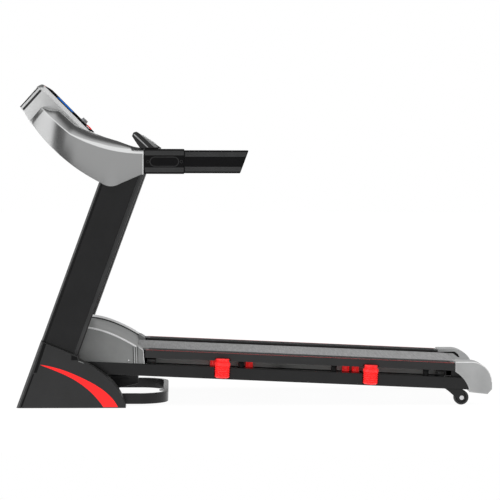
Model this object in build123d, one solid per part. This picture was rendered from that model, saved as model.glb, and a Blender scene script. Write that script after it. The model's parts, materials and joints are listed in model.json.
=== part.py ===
from build123d import *
import os
from math import cos, radians, sin, tan

# Folding motorised treadmill, millimetres. +X runs to the rear of the walking deck,
# the console stands at -X, +Z is up and the walker's left side is -Y.

# ---- Driving dimensions ----
COVER_OUT = 425.0          # outer face of the base covers, from the middle plane
COVER_IN = 348.0           # inner face of the base covers
COVER_WALL = 3.0
FLOOR_GAP = 4.0            # steel base above the floor, standing on rubber feet

LEAN = 20.0                # uprights lean to the rear, degrees from vertical
UPRIGHT_FOOT_X = -874.3    # upright centre line at floor height
UPRIGHT_DEPTH = 158.0
UPRIGHT_WIDTH = 50.0
UPRIGHT_Y = 375.0
UPRIGHT_WALL = 2.5
UPRIGHT_TOP = 957.0
TUBE_WALL = 3.0            # wall of the rectangular cross tubes

ARM_OUT = 415.0            # outer face of the silver arms and handrails
CONSOLE_HALF = 250.0
CONSOLE_TOP_X = -860.0     # top edge of the console face
CONSOLE_TOP_Z = 1294.0
CONSOLE_TILT = 45.0
FACE_LENGTH = 273.0

DECK_SLOPE = 2.5           # the deck falls to the rear
RAIL_TOP_Z = 206.2         # rail top plane above the origin
DECK_HALF = 340.0
RAIL_IN = 240.0
BEAM_IN = 300.0
BEAM_TOP = -58.0           # heights below the rail top plane
BEAM_LOW = -106.0
RAIL_LOW = -32.0
RAIL_FRONT = -446.0
RAIL_REAR = 809.0

BELT_HALF = 236.0
BELT_THICK = 2.0
ROLLER_R = 25.0
ROLLER_W = -37.0           # roller axis below the rail top plane
FRONT_ROLLER_U = -545.0
REAR_ROLLER_U = 835.0
AXLE_R = 8.0
RUN_FIT = 0.05             # radial clearance of a turning shaft
SKIN_GAP = 0.3             # clearance between moving faces

FOLD_X = -680.0            # fold hinge
FOLD_Z = 150.0
FOLD_PIN_R = 10.0

STRUT_LOW = (-585.0, 98.0)     # lower eye of the folding strut, X and Z
STRUT_HIGH = (-100.0, 120.0)   # upper eye with the deck down

WHEEL_R = 30.0
WHEEL_X = 836.0

DECK = Pos(0, 0, RAIL_TOP_Z) * Rot(0, DECK_SLOPE, 0)


# ---- Small helpers ----
def save(name, shape):
    """Write one node."""
    node = group(shape)
    node.label = name
    export_step(node, f"parts/{name}.step")


def save_pair(name, left):
    """Write the left node and its mirror image on the right."""
    save(name + "_left", left)
    save(name + "_right", mirror(left, about=Plane.XZ))


def both_sides(left):
    """The left solid and its mirror image as one group."""
    return group(left, mirror(left, about=Plane.XZ))


def group(*shapes):
    """Separate solids kept together in one node."""
    solids = []
    for shape in shapes:
        solids.extend(shape.solids())
    return Compound(children=solids)


def box(x0, x1, y0, y1, z0, z1):
    """Block between two corners."""
    centre = ((x0 + x1) / 2, (y0 + y1) / 2, (z0 + z1) / 2)
    return Pos(*centre) * Box(x1 - x0, y1 - y0, z1 - z0)


def slab(edges, y0, y1):
    """Closed XZ outline, given as edges, pulled through from y0 to y1."""
    face = Plane.XZ.offset(-y1) * make_face(edges)
    return extrude(face, amount=y1 - y0, dir=(0, -1, 0))


def polygon(points):
    """Closed straight-sided outline."""
    return Polyline(*points, close=True).edges()


def square_tube(x0, x1, y0, y1, z0, z1, wall=TUBE_WALL):
    """Hollow rectangular tube along Y, open at both ends."""
    return box(x0, x1, y0, y1, z0, z1) - box(
        x0 + wall, x1 - wall, y0 - 1, y1 + 1, z0 + wall, z1 - wall
    )


def cross_cylinder(x, z, radius, y0, y1):
    """Cylinder along Y."""
    return Pos(x, (y0 + y1) / 2, z) * Rot(90, 0, 0) * Cylinder(radius, y1 - y0)


def to_deck(x, z):
    """Row-frame X and Z turned into distance along the deck and height over its plane."""
    a = radians(DECK_SLOPE)
    dz = z - RAIL_TOP_Z
    return x * cos(a) - dz * sin(a), x * sin(a) + dz * cos(a)


# ---- Base: frame, feet, covers, uprights ----
RAIL_Z = (FLOOR_GAP, 50.0)
LOOP_OUT = 320.0
LOOP_REAR = -354.0
LOOP_THICK = 20.0
LOOP_TOP = 46.0
LOOP_BEND = 100.0
LOOP_WALL = 2.5
CROSS_X = (-900.0, -860.0)
STRUT_BAR_X = (-605.0, -565.0)
LUG_Y = (356.0, 366.0)
EAR_Y = (16.0, 22.0)        # strut clevis plates on each side of the middle plane


def base_frame():
    """Welded floor frame: two side rails, front cross tube and pivot lugs."""
    rail = box(-925, -550, -394, -356, *RAIL_Z) - box(-926, -549, -391, -359, 7, 47)
    lug = box(FOLD_X - 22, FOLD_X + 22, -LUG_Y[1], -LUG_Y[0], RAIL_Z[1], FOLD_Z)
    lug += cross_cylinder(FOLD_X, FOLD_Z, 22, -LUG_Y[1], -LUG_Y[0])
    lug -= cross_cylinder(FOLD_X, FOLD_Z, FOLD_PIN_R, -LUG_Y[1] - 1, -LUG_Y[0] + 1)
    side = rail + lug
    frame = side + mirror(side, about=Plane.XZ)
    return frame + square_tube(*CROSS_X, -356, 356, FLOOR_GAP, 44)


def strut_mount():
    """Bar across the loop with the lower ears and pin of the folding strut."""
    x, z = STRUT_LOW
    half = LOOP_OUT - LOOP_THICK
    mount = square_tube(*STRUT_BAR_X, -half, half, 8, 42)
    for side in (-1, 1):
        y0, y1 = sorted((side * EAR_Y[0], side * EAR_Y[1]))
        mount += box(x - 18, x + 18, y0, y1, 42, z) + cross_cylinder(x, z, 18, y0, y1)
    return mount + cross_cylinder(x, z, 6, -EAR_Y[1] - 5, EAR_Y[1] + 5)


def loop_plan(inset):
    """Plan of the loop's bent tube, drawn in by inset on both faces."""
    outer = RectangleRounded(
        2 * (LOOP_OUT + LOOP_BEND - inset), 2 * (LOOP_OUT - inset), LOOP_BEND + LOOP_THICK - inset
    )
    inner = RectangleRounded(
        2 * (LOOP_OUT + LOOP_BEND - LOOP_THICK + inset),
        2 * (LOOP_OUT - LOOP_THICK + inset),
        LOOP_BEND + inset,
    )
    return outer - inner


def floor_loop():
    """Flat steel tube bent into a U that keeps the folded machine from tipping back."""
    place = Pos(LOOP_REAR - LOOP_OUT - LOOP_BEND, 0, 0)
    band = place * Pos(0, 0, FLOOR_GAP) * extrude(loop_plan(0), LOOP_TOP - FLOOR_GAP)
    band -= place * Pos(0, 0, FLOOR_GAP + LOOP_WALL) * extrude(
        loop_plan(LOOP_WALL), LOOP_TOP - FLOOR_GAP - 2 * LOOP_WALL
    )
    return (band & box(CROSS_X[1], LOOP_REAR + 1, -400, 400, 0, 100)) + strut_mount()


def base_feet():
    """Rubber pads under the side rails and the loop."""
    spots = [(-905, -375), (-575, -375), (-385, -220)]
    pads = [Pos(x, y, FLOOR_GAP / 2) * Cylinder(15 if y < -300 else 9, FLOOR_GAP) for x, y in spots]
    return both_sides(group(*pads))


def cover_outline():
    """Side outline of a base cover: straight front, sloping collar, bulging rear."""
    foot, collar_front, collar_rear = (-959.5, 0), (-861.5, 268), (-713, 207)
    step, bulge, heel = (-711, 191), (-573, 101), (-522, 0)
    return [
        Line(foot, collar_front),
        Line(collar_front, collar_rear),
        Line(collar_rear, step),
        ThreePointArc(step, (-636, 153), bulge),
        ThreePointArc(bulge, (-542, 56), heel),
        Line(heel, foot),
    ]


def upright_solid(grow, low, high):
    """Rounded upright section, grown all round, between two heights."""
    lean = radians(LEAN)
    foot = Plane(
        origin=(UPRIGHT_FOOT_X, -UPRIGHT_Y, 0),
        x_dir=(cos(lean), 0, -sin(lean)),
        z_dir=(sin(lean), 0, cos(lean)),
    )
    corner = 21 + grow
    section = RectangleRounded(UPRIGHT_DEPTH + 2 * grow, UPRIGHT_WIDTH + 2 * grow, corner)
    rod = extrude(foot.offset(-200) * section, amount=1500)
    return rod & box(-1200, 0, -500, 0, low, high)


def upright():
    """Oval steel upright."""
    low, high = RAIL_Z[1], UPRIGHT_TOP
    return upright_solid(0, low, high) - upright_solid(-UPRIGHT_WALL, low - 1, high + 1)


def base_cover():
    """Moulded shell over one side rail and the foot of its upright."""
    outline = make_face(cover_outline())
    shell = extrude(Plane.XZ.offset(COVER_IN) * outline, amount=COVER_OUT - COVER_IN, dir=(0, -1, 0))
    outer_edges = shell.faces().sort_by(Axis.Y)[0].edges()
    front_edge = outer_edges.sort_by(Axis.X)[0]
    shell = chamfer(front_edge, 9)
    inside = offset(outline, -COVER_WALL)
    depth = COVER_OUT - COVER_IN - 2 * COVER_WALL
    start = Plane.XZ.offset(COVER_IN + COVER_WALL)
    hollow = extrude(start * inside, amount=depth - 6, dir=(0, -1, 0))
    hollow += Pos(0, 0, -6) * hollow
    shell -= hollow
    shell -= upright_solid(SKIN_GAP, 20, 400)
    shell -= cross_cylinder(FOLD_X, FOLD_Z, 14, -COVER_IN - 10, -COVER_IN + 10)
    shell -= box(CROSS_X[0] - 1, CROSS_X[1] + 1, -COVER_IN - 10, -COVER_IN + 1, -1, 45)
    return shell.solids().sort_by(SortBy.VOLUME)[-1]


def cover_stripe():
    """Inlaid crescent that widens from the collar down to the floor lip."""
    upper = [(-861, 174), (-778, 154), (-687, 116), (-604, 65), (-572, 33), (-554, 4)]
    lower = [(-612, 4), (-654, 56), (-732, 116), (-778, 139), (-861, 172)]
    edges = [
        Spline(*upper),
        Line(upper[-1], lower[0]),
        Spline(*lower),
        Line(lower[-1], upper[0]),
    ]
    return slab(edges, -COVER_OUT - 0.8, -COVER_OUT)


def fold_pin():
    """Hinge pin from the base lug into the deck beam."""
    pin = cross_cylinder(FOLD_X, FOLD_Z, FOLD_PIN_R, -LUG_Y[1] - 2, -BEAM_IN + 4)
    head = cross_cylinder(FOLD_X, FOLD_Z, 15, -LUG_Y[1] - 9, -LUG_Y[1])
    return pin + head


# ---- Arms and handrails ----
SLEEVE_X = (-449.0, -289.0)
SLEEVE_Z = (935.0, 1035.0)
SLEEVE_IN = 365.0
GRIP_END_X = -33.0
TUBE_Z = 985.0
TUBE_Y = 385.0
TUBE_SIZE = (26.0, 56.0)   # handrail tube, Y by Z
BRACKET_X = (-790.0, -750.0)
BRACKET_Z = (1050.0, 1080.0)


def arm_outline(rise):
    """Side outline of an arm; rise lifts the top edge towards the console."""
    low = [(-901, 1138), (-780, 1005), (-640, 904), (-577, 884), (-513, 906), (-452, 932)]
    top = [(-452, 1016), (-600, 1034), (-745, 1092), (-805, 1143), (-856, 1192)]
    top = [(x, z + rise * (0.55 + 0.45 * min(1, (-452 - x) / 200))) for x, z in top]
    return [
        ThreePointArc(*low[0:3]),
        ThreePointArc(*low[2:5]),
        Line(low[4], low[5]),
        Line(low[5], top[0]),
        ThreePointArc(*top[0:3]),
        ThreePointArc(*top[2:5]),
        Line(top[4], low[0]),
    ]


def arm_solid():
    """Solid between the plain outer outline and the raised inner outline."""
    outer = Plane.XZ.offset(ARM_OUT) * make_face(arm_outline(0))
    inner = Plane.XZ.offset(CONSOLE_HALF) * make_face(arm_outline(45))
    return loft([outer, inner], ruled=True)


def arm_plan(inset):
    """Plan outline: full width beside the console, narrowing to the handrail."""
    i = inset
    points = [(-1000, -CONSOLE_HALF - i), (-700, -CONSOLE_HALF - i)]
    curve = Spline(points[1], (-600, -290 - i), (-520, -342 - i), (-452 - i, -SLEEVE_IN - i))
    edges = [
        Line(*points),
        curve,
        Line(curve @ 1, (-452 - i, -ARM_OUT + i)),
        Line((-452 - i, -ARM_OUT + i), (-1000, -ARM_OUT + i)),
        Line((-1000, -ARM_OUT + i), points[0]),
    ]
    return Pos(0, 0, 800) * extrude(make_face(edges), amount=500)


def handrail_bar(inset, x0, x1):
    """Rounded bar with the section of the handrail tube."""
    section = RectangleRounded(TUBE_SIZE[0] - 2 * inset, TUBE_SIZE[1] - 2 * inset, 12 - inset)
    return extrude(Plane((x0, -TUBE_Y, TUBE_Z), x_dir=(0, 1, 0), z_dir=(1, 0, 0)) * section, x1 - x0)


def arm():
    """Hollow silver arm shell that joins upright, handrail and console."""
    solid = arm_solid()
    wall = 4.0
    core = Plane.XZ.offset(ARM_OUT - wall) * offset(make_face(arm_outline(0)), -wall - 1)
    hollow = extrude(core, amount=ARM_OUT - wall - CONSOLE_HALF - wall, dir=(0, 1, 0)) & arm_plan(wall)
    shell = (solid & arm_plan(0)) - hollow
    shell -= upright_solid(SKIN_GAP, 700, UPRIGHT_TOP)
    shell -= handrail_bar(0, -641, -451)
    shell -= box(*BRACKET_X, -350, -CONSOLE_HALF + 1, *BRACKET_Z)
    return shell.solids().sort_by(SortBy.VOLUME)[-1]


def handrail_tube():
    """Steel core of one handrail, resting on top of its upright."""
    return handrail_bar(0, -640, -75) - handrail_bar(2, -641, -74)


def bevelled_bar(y_in, y_out, z_low, z_high, bevel, x0, x1):
    """Bar along X with bevelled long edges, the outer bevels taller than wide."""
    points = [
        (y_in, z_low + bevel),
        (y_in + bevel, z_low),
        (y_out - bevel * 0.7, z_low),
        (y_out, z_low + bevel * 1.3),
        (y_out, z_high - bevel * 1.3),
        (y_out - bevel * 0.7, z_high),
        (y_in + bevel, z_high),
        (y_in, z_high - bevel),
    ]
    start = Plane((x0, 0, 0), x_dir=(0, -1, 0), z_dir=(-1, 0, 0))
    return extrude(start * make_face(polygon(points)), amount=x1 - x0, dir=(1, 0, 0))


def oval_recess(depth):
    """Oval pocket sunk into the sleeve's outer face."""
    x = (SLEEVE_X[0] + SLEEVE_X[1]) / 2
    plane = Plane((x, -ARM_OUT + depth, TUBE_Z), x_dir=(1, 0, 0), z_dir=(0, -1, 0))
    return extrude(plane * RectangleRounded(118, 39, 19), depth + 5)


def handrail_sleeve():
    """Black sleeve between arm and grip, with an oval recess."""
    sleeve = bevelled_bar(SLEEVE_IN, ARM_OUT, *SLEEVE_Z, 13, *SLEEVE_X)
    sleeve -= upright_solid(SKIN_GAP, 900, UPRIGHT_TOP)
    return sleeve - handrail_bar(0, SLEEVE_X[0] - 1, SLEEVE_X[1] + 1) - oval_recess(3)


def handrail_grip():
    """Soft grip with a slanted end, blind-bored for the tube."""
    grip = bevelled_bar(SLEEVE_IN + 1, ARM_OUT - 2, 938, 1030, 11, SLEEVE_X[1], GRIP_END_X)
    wedge = [(GRIP_END_X, 1031), (GRIP_END_X - 33, 937), (GRIP_END_X + 40, 937), (GRIP_END_X + 40, 1031)]
    grip -= slab(polygon(wedge), -450, -350)
    return grip - handrail_bar(0, SLEEVE_X[1] - 1, -75)


PULSE_HALF = 398.0
PULSE_TIP = (-480.0, 1105.0)
PULSE_HEEL = (-385.0, 1043.0)


def pulse_bar():
    """Leaning cross bar with the heart-rate grips, standing on both sleeves."""
    outline = [
        (-449, SLEEVE_Z[1]),
        (-395, SLEEVE_Z[1]),
        PULSE_HEEL,
        PULSE_TIP,
        (-496, 1101),
        (-503, 1084),
        (-470, 1052),
    ]
    return slab(polygon(outline), -PULSE_HALF, PULSE_HALF)


def pulse_plates():
    """Sensor plates on the walker's side of the cross bar."""
    dx, dz = PULSE_HEEL[0] - PULSE_TIP[0], PULSE_HEEL[1] - PULSE_TIP[1]
    length = (dx * dx + dz * dz) ** 0.5
    face = Plane(
        origin=((PULSE_HEEL[0] + PULSE_TIP[0]) / 2, 0, (PULSE_HEEL[1] + PULSE_TIP[1]) / 2),
        x_dir=(dx / length, 0, dz / length),
        z_dir=(-dz / length, 0, dx / length),
    )
    plates = [extrude(face * Pos(0, y, 0) * RectangleRounded(58, 120, 12), 2) for y in (-210, 210)]
    return group(*plates)


# ---- Console ----
BEZEL_DEPTH = 18.0
PANEL_TOP = 2.0            # panel face above the bezel plane
PANEL_LOW = -6.0
PANEL_HALF = 236.0
PANEL_F = (10.0, 263.0)
SCREEN_F = (65.0, 148.0)
SCREEN_HALF = 120.0
KNOB_F = 210.0
KNOB_SHAFT_R = 5.0
KEY_F = 243.0
KEY_SIZE = (14.0, 24.0)
KEY_Y = {"start_key": -150.0, "stop_key": 150.0, "mode_key": -80.0, "program_key": 80.0}
CLIP_R = 6.0

TILT = radians(CONSOLE_TILT)
CONSOLE = Location(
    Plane(
        origin=(CONSOLE_TOP_X, 0, CONSOLE_TOP_Z),
        x_dir=(cos(TILT), 0, -sin(TILT)),
        z_dir=(sin(TILT), 0, cos(TILT)),
    )
)


def console_slab(points, half):
    """Outline in face distance and face height, pulled out to both sides."""
    profile = Plane.XZ.offset(-half) * make_face(polygon(points))
    return CONSOLE * extrude(profile, amount=2 * half, dir=(0, -1, 0))


def console_bracket():
    """Cross tube that carries the console, with a plate down to each upright."""
    tube = square_tube(*BRACKET_X, -350, 350, *BRACKET_Z)
    plate = slab(polygon([(-790, 1050), (-750, 1080), (-565, 990), (-565, 930), (-620, 930)]), -350, -344)
    return tube + plate + mirror(plate, about=Plane.XZ)


def console_back():
    """Deep rear shell of the console pod."""
    outline = [
        (0, -BEZEL_DEPTH),
        (-12, -24),
        (-3, -131.5),
        (18, -134.5),
        (70, -146),
        (150, -150),
        (240, -128),
        (284, -60),
        (FACE_LENGTH, -BEZEL_DEPTH),
    ]
    inner = [
        (3, -BEZEL_DEPTH + 1),
        (-8, -27),
        (0, -128),
        (19, -131),
        (70, -142.5),
        (149, -146.5),
        (238, -125),
        (280.5, -60),
        (FACE_LENGTH - 3.5, -BEZEL_DEPTH + 1),
    ]
    shell = console_slab(outline, CONSOLE_HALF) - console_slab(inner, CONSOLE_HALF - 3.5)
    return shell - box(*BRACKET_X, -300, 300, *BRACKET_Z)


def console_bezel():
    """Light front frame round the panel."""
    outline = [(0, -BEZEL_DEPTH), (0, 0), (FACE_LENGTH, 0), (FACE_LENGTH, -BEZEL_DEPTH)]
    window = [(PANEL_F[0], -30), (PANEL_F[0], 10), (PANEL_F[1], 10), (PANEL_F[1], -30)]
    return console_slab(outline, CONSOLE_HALF) - console_slab(window, PANEL_HALF)


def on_face(f, y, low, high, sketch):
    """Sketch pulled through from one height over the face to another."""
    return CONSOLE * Pos(f, y, low) * extrude(sketch, high - low)


def key_block(grow, low, high, y):
    """Rounded key block."""
    return on_face(KEY_F, y, low, high, RectangleRounded(KEY_SIZE[0] + grow, KEY_SIZE[1] + grow, 4))


def console_panel():
    """Dark control panel with its window and its holes."""
    start, end = PANEL_F
    outline = [(start, PANEL_LOW), (start, PANEL_TOP), (end, PANEL_TOP), (end, PANEL_LOW)]
    window = [(SCREEN_F[0], -9), (SCREEN_F[0], 9), (SCREEN_F[1], 9), (SCREEN_F[1], -9)]
    panel = console_slab(outline, PANEL_HALF) - console_slab(window, SCREEN_HALF)
    for y in KEY_Y.values():
        panel -= key_block(2 * SKIN_GAP, -9, 9, y)
    panel -= on_face(KNOB_F, 0, -9, 9, Circle(KNOB_SHAFT_R + RUN_FIT))
    panel -= on_face(KEY_F, 0, -9, 9, Circle(CLIP_R + RUN_FIT))
    return panel


def display_lens():
    """Screen block in the panel window."""
    low, high = PANEL_LOW, PANEL_TOP
    outline = [(SCREEN_F[0], low), (SCREEN_F[0], high), (SCREEN_F[1], high), (SCREEN_F[1], low)]
    return console_slab(outline, SCREEN_HALF)


def circuit_board():
    """Display board on four stand-offs behind the panel."""
    board = console_slab([(20, -32), (20, -30), (225, -30), (225, -32)], 200)
    for f in (30, 190):
        for y in (-180, 180):
            board += on_face(f, y, -30, PANEL_LOW, Circle(4))
    return board


def speed_knob():
    """Stepped rotary knob on its shaft."""
    knob = on_face(KNOB_F, 0, -14, PANEL_TOP + SKIN_GAP, Circle(KNOB_SHAFT_R))
    knob += on_face(KNOB_F, 0, PANEL_TOP + SKIN_GAP, 11, Circle(17))
    return knob + on_face(KNOB_F, 0, 11, 18, Circle(14))


def panel_key(y):
    """Push key kept in by a flange under the panel."""
    rim = RectangleRounded(KEY_SIZE[0] + 4, KEY_SIZE[1] + 4, 5)
    flange = on_face(KEY_F, y, -9, PANEL_LOW - SKIN_GAP, rim)
    return key_block(0, -9, PANEL_TOP + 2.5, y) + flange


def safety_key():
    """Magnetic stop clip that pulls straight out of the panel."""
    stem = on_face(KEY_F, 0, -4, PANEL_TOP + SKIN_GAP, Circle(CLIP_R))
    return stem + on_face(KEY_F, 0, PANEL_TOP + SKIN_GAP, 8, Circle(12))


# ---- Walking deck ----
BEAM_U = (-750.0, 870.0)
BEAM_WALL = 3.0
BOARD_TOP = ROLLER_W + ROLLER_R
BOARD_THICK = 18.0
BOARD_HALF = 290.0
BOARD_U = (-440.0, 795.0)
CUSHION_TRAVEL = 5.0
CUSHION_Y = 270.0
STRINGER_OUT = 250.0
CUSHION_U = (-167.0, -22.0, 372.0, 412.0)
DAMPER_Y = 345.0
DAMPER_R = 31.0
DAMPER_U = (-132.5, 468.0)
DAMPER_W = (-99.0, -22.0)
POST_U = (-57.0, 320.0, 694.0)
CROSS_U = (-450.0, 100.0, 430.0, 740.0)
CROSS_TOP = -70.0
STRUT_CROSS_U = (-70.0, -30.0)


def deck_box(u0, u1, y0, y1, w0, w1):
    """Block in deck coordinates."""
    return DECK * box(u0, u1, y0, y1, w0, w1)


def deck_upright_cylinder(u, y, radius, w0, w1):
    """Cylinder standing square on the deck."""
    return DECK * Pos(u, y, (w0 + w1) / 2) * Cylinder(radius, w1 - w0)


def deck_cross_cylinder(u, w, radius, y0, y1):
    """Cylinder along Y in deck coordinates."""
    return DECK * cross_cylinder(u, w, radius, y0, y1)


def deck_beam():
    """Lower side beam with roller plates, cushion shelves, stringer and damper pockets."""
    y_out, y_in = -DECK_HALF, -BEAM_IN
    beam = deck_box(*BEAM_U, y_out, y_in, BEAM_LOW, BEAM_TOP)
    beam -= deck_box(
        BEAM_U[0] - 1, BEAM_U[1] + 1,
        y_out + BEAM_WALL, y_in - BEAM_WALL,
        BEAM_LOW + BEAM_WALL, BEAM_TOP - BEAM_WALL,
    )
    for u, y in ((FRONT_ROLLER_U, -328), (REAR_ROLLER_U - 8, -310)):
        plate = deck_box(u - 28, u + 28, y, y + 8, BEAM_TOP, -12)
        beam += plate
    for u in POST_U:
        beam += deck_box(u - 6, u + 6, -334, -322, BEAM_TOP, -20)
    beam += deck_box(-438, 779, -STRINGER_OUT, 9 - STRINGER_OUT, CROSS_TOP, -37)
    for u in CUSHION_U:
        beam += deck_box(u - 20, u + 20, y_in, -STRINGER_OUT, BEAM_TOP - 4, BEAM_TOP)
    for u in DAMPER_U:
        beam -= deck_upright_cylinder(u, -DAMPER_Y, DAMPER_R + SKIN_GAP, DAMPER_W[0], 0)
    u, w = to_deck(FOLD_X, FOLD_Z)
    beam += deck_cross_cylinder(u, w, 18, y_out, y_in)
    beam -= cross_cylinder(FOLD_X, FOLD_Z, FOLD_PIN_R + RUN_FIT, y_out - 1, y_in + 1)
    return beam


def deck_tube(u0, u1):
    """Square tube across the deck between the beams."""
    return DECK * square_tube(u0, u1, -BEAM_IN, BEAM_IN, BEAM_LOW, CROSS_TOP)


def cross_tubes():
    """Tubes between the beams; one carries the upper ears of the folding strut."""
    tubes = [deck_tube(u - 20, u + 20) for u in CROSS_U]
    u, w = to_deck(*STRUT_HIGH)
    carrier = deck_tube(*STRUT_CROSS_U)
    for side in (-1, 1):
        y0, y1 = sorted((side * EAR_Y[0], side * EAR_Y[1]))
        carrier += deck_box(u - 16, STRUT_CROSS_U[0], y0, y1, BEAM_LOW, -74)
        head0, head1 = sorted((side * EAR_Y[1], side * (EAR_Y[1] + 5)))
        carrier += deck_cross_cylinder(u, w, 9, head0, head1)
    return group(*tubes, carrier)


def side_rail():
    """Foot rail standing on the edge of the running board."""
    y_out = -DECK_HALF
    rail = deck_box(RAIL_FRONT, RAIL_REAR, y_out, -RAIL_IN, -4, 0)
    rail += deck_box(RAIL_FRONT, RAIL_REAR, y_out, y_out + 4, RAIL_LOW, 0)
    rail += deck_box(RAIL_FRONT, RAIL_REAR, -RAIL_IN - 3, -RAIL_IN, -9, 0)
    rail += deck_box(*BOARD_U, -288, -250, BOARD_TOP, -4)
    for u in DAMPER_U:
        rail -= deck_upright_cylinder(u, -DAMPER_Y, DAMPER_R + SKIN_GAP, -40, DAMPER_W[1])
    return rail


def running_board():
    """Laminated board under the walking belt."""
    return deck_box(*BOARD_U, -BOARD_HALF, BOARD_HALF, BOARD_TOP - BOARD_THICK, BOARD_TOP)


def ribbed_profile(radius, core, low, high, ribs):
    """Half section of a ribbed rubber column."""
    points = [(0, low), (radius * 0.86, low), (radius * 0.86, low + 6)]
    pitch = (high - low - 18) / ribs
    for i in range(ribs):
        z = low + 6 + i * pitch
        rise, fall = z + pitch * 0.25, z + pitch * 0.6
        points += [(core, z), (radius, rise), (radius, fall), (core, z + pitch * 0.85)]
    points += [(core, high - 12), (radius * 0.86, high - 12), (radius * 0.86, high), (0, high)]
    return points


def side_damper(u):
    """Ribbed rubber column let into the outer face of the deck."""
    points = ribbed_profile(DAMPER_R, DAMPER_R - 5, *DAMPER_W, 7)
    column = revolve(make_face(Plane.XZ * Polyline(*points, close=True)), Axis.Z)
    return DECK * Pos(u, -DAMPER_Y, 0) * column


def board_cushion(u):
    """Plain rubber cushion between shelf and board."""
    return deck_upright_cylinder(u, -CUSHION_Y, 15, BEAM_TOP, BOARD_TOP - BOARD_THICK)


def walking_belt():
    """Endless belt round both rollers."""
    inner_r = ROLLER_R + SKIN_GAP
    length = REAR_ROLLER_U - FRONT_ROLLER_U
    outer = SlotCenterToCenter(length, 2 * (inner_r + BELT_THICK))
    inner = SlotCenterToCenter(length, 2 * inner_r)
    middle = (FRONT_ROLLER_U + REAR_ROLLER_U) / 2
    band = extrude(Plane.XZ.offset(-BELT_HALF) * (outer - inner), amount=2 * BELT_HALF, dir=(0, -1, 0))
    return DECK * Pos(middle, 0, ROLLER_W) * band


def roller(u):
    """Hollow roller with closed ends that turn on the axle."""
    half = BELT_HALF + 2
    tube = deck_cross_cylinder(u, ROLLER_W, ROLLER_R, -half, half)
    tube -= deck_cross_cylinder(u, ROLLER_W, ROLLER_R - 3, -half + 12, half - 12)
    return tube - deck_cross_cylinder(u, ROLLER_W, AXLE_R + RUN_FIT, -half - 1, half + 1)


def roller_axles():
    """Fixed axles of both rollers."""
    front = deck_cross_cylinder(FRONT_ROLLER_U, ROLLER_W, AXLE_R, -320, 320)
    rear = deck_cross_cylinder(REAR_ROLLER_U, ROLLER_W, AXLE_R, -302, 302)
    return group(front, rear)


# ---- Drive ----
PULLEY_Y = (-288.0, -262.0)
ROLLER_PULLEY_R = 45.0
MOTOR_PULLEY_R = 20.0
MOTOR_U = -690.0
MOTOR_W = -50.0
MOTOR_R = 50.0
MOTOR_Y = (-250.0, -60.0)
PAN_U = (-786.0, -500.0)
PAN_HALF = 285.0
SWITCH_Y = (100.0, 118.0)
SWITCH_W = -83.0
SWITCH_PIN_R = 1.5


def roller_pulley():
    """Large pulley on the end of the front roller."""
    pulley = deck_cross_cylinder(FRONT_ROLLER_U, ROLLER_W, ROLLER_PULLEY_R, *PULLEY_Y)
    pulley += deck_cross_cylinder(FRONT_ROLLER_U, ROLLER_W, 14, PULLEY_Y[1], -BELT_HALF - 2)
    return pulley - deck_cross_cylinder(FRONT_ROLLER_U, ROLLER_W, AXLE_R + RUN_FIT, -290, -230)


def drive_motor():
    """Motor can on its foot."""
    motor = deck_cross_cylinder(MOTOR_U, MOTOR_W, MOTOR_R, *MOTOR_Y)
    motor += deck_box(MOTOR_U - 35, MOTOR_U + 35, MOTOR_Y[0] + 15, MOTOR_Y[1] - 15, -103, MOTOR_W - 30)
    return motor - deck_cross_cylinder(MOTOR_U, MOTOR_W, AXLE_R + RUN_FIT, MOTOR_Y[0] - 1, MOTOR_Y[1] + 1)


def motor_shaft():
    """Motor shaft with its pulley and flywheel."""
    shaft = deck_cross_cylinder(MOTOR_U, MOTOR_W, AXLE_R, PULLEY_Y[0], -34)
    shaft += deck_cross_cylinder(MOTOR_U, MOTOR_W, MOTOR_PULLEY_R, *PULLEY_Y)
    return shaft + deck_cross_cylinder(MOTOR_U, MOTOR_W, 42, MOTOR_Y[1] + 4, -38)


def belt_loop(grow):
    """Tight outline round both pulleys."""
    small = Pos(MOTOR_U, MOTOR_W) * Circle(MOTOR_PULLEY_R + grow)
    large = Pos(FRONT_ROLLER_U, ROLLER_W) * Circle(ROLLER_PULLEY_R + grow)
    return make_hull(small.edges() + large.edges())


def drive_belt():
    """Belt from motor to roller."""
    ring = belt_loop(SKIN_GAP + 4) - belt_loop(SKIN_GAP)
    low, high = PULLEY_Y[0] + 2, PULLEY_Y[1] - 2
    return DECK * extrude(Plane.XZ.offset(-high) * ring, amount=high - low, dir=(0, -1, 0))


def switch_pivot(radius, y0, y1):
    """Cylinder on the rocker's axis."""
    return deck_cross_cylinder(PAN_U[0] + 5, SWITCH_W, radius, y0, y1)


def motor_pan():
    """Tray under the motor with the front wall that holds inlet and switch."""
    front, back = PAN_U[0], PAN_U[0] + 3
    pan = deck_box(*PAN_U, -PAN_HALF, PAN_HALF, BEAM_LOW, BEAM_LOW + 3)
    pan += deck_box(BEAM_U[0] + 2, PAN_U[1], -BEAM_IN, BEAM_IN, BEAM_LOW, BEAM_LOW + 3)
    pan += deck_box(front, back, -PAN_HALF, PAN_HALF, BEAM_LOW, BEAM_TOP)
    pan -= deck_box(front - 1, back + 1, 60, 88, -95, -70)
    slot_y0, slot_y1 = SWITCH_Y[0] - 1, SWITCH_Y[1] + 1
    pan -= deck_box(front - 1, back + 1, slot_y0, slot_y1, SWITCH_W - 13, SWITCH_W + 13)
    for y in (slot_y0 - 3, slot_y1):
        pan += deck_box(back, back + 5, y, y + 3, SWITCH_W - 4, SWITCH_W + 4)
    return pan + switch_pivot(SWITCH_PIN_R, slot_y0 - 3, slot_y1 + 3)


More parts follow.
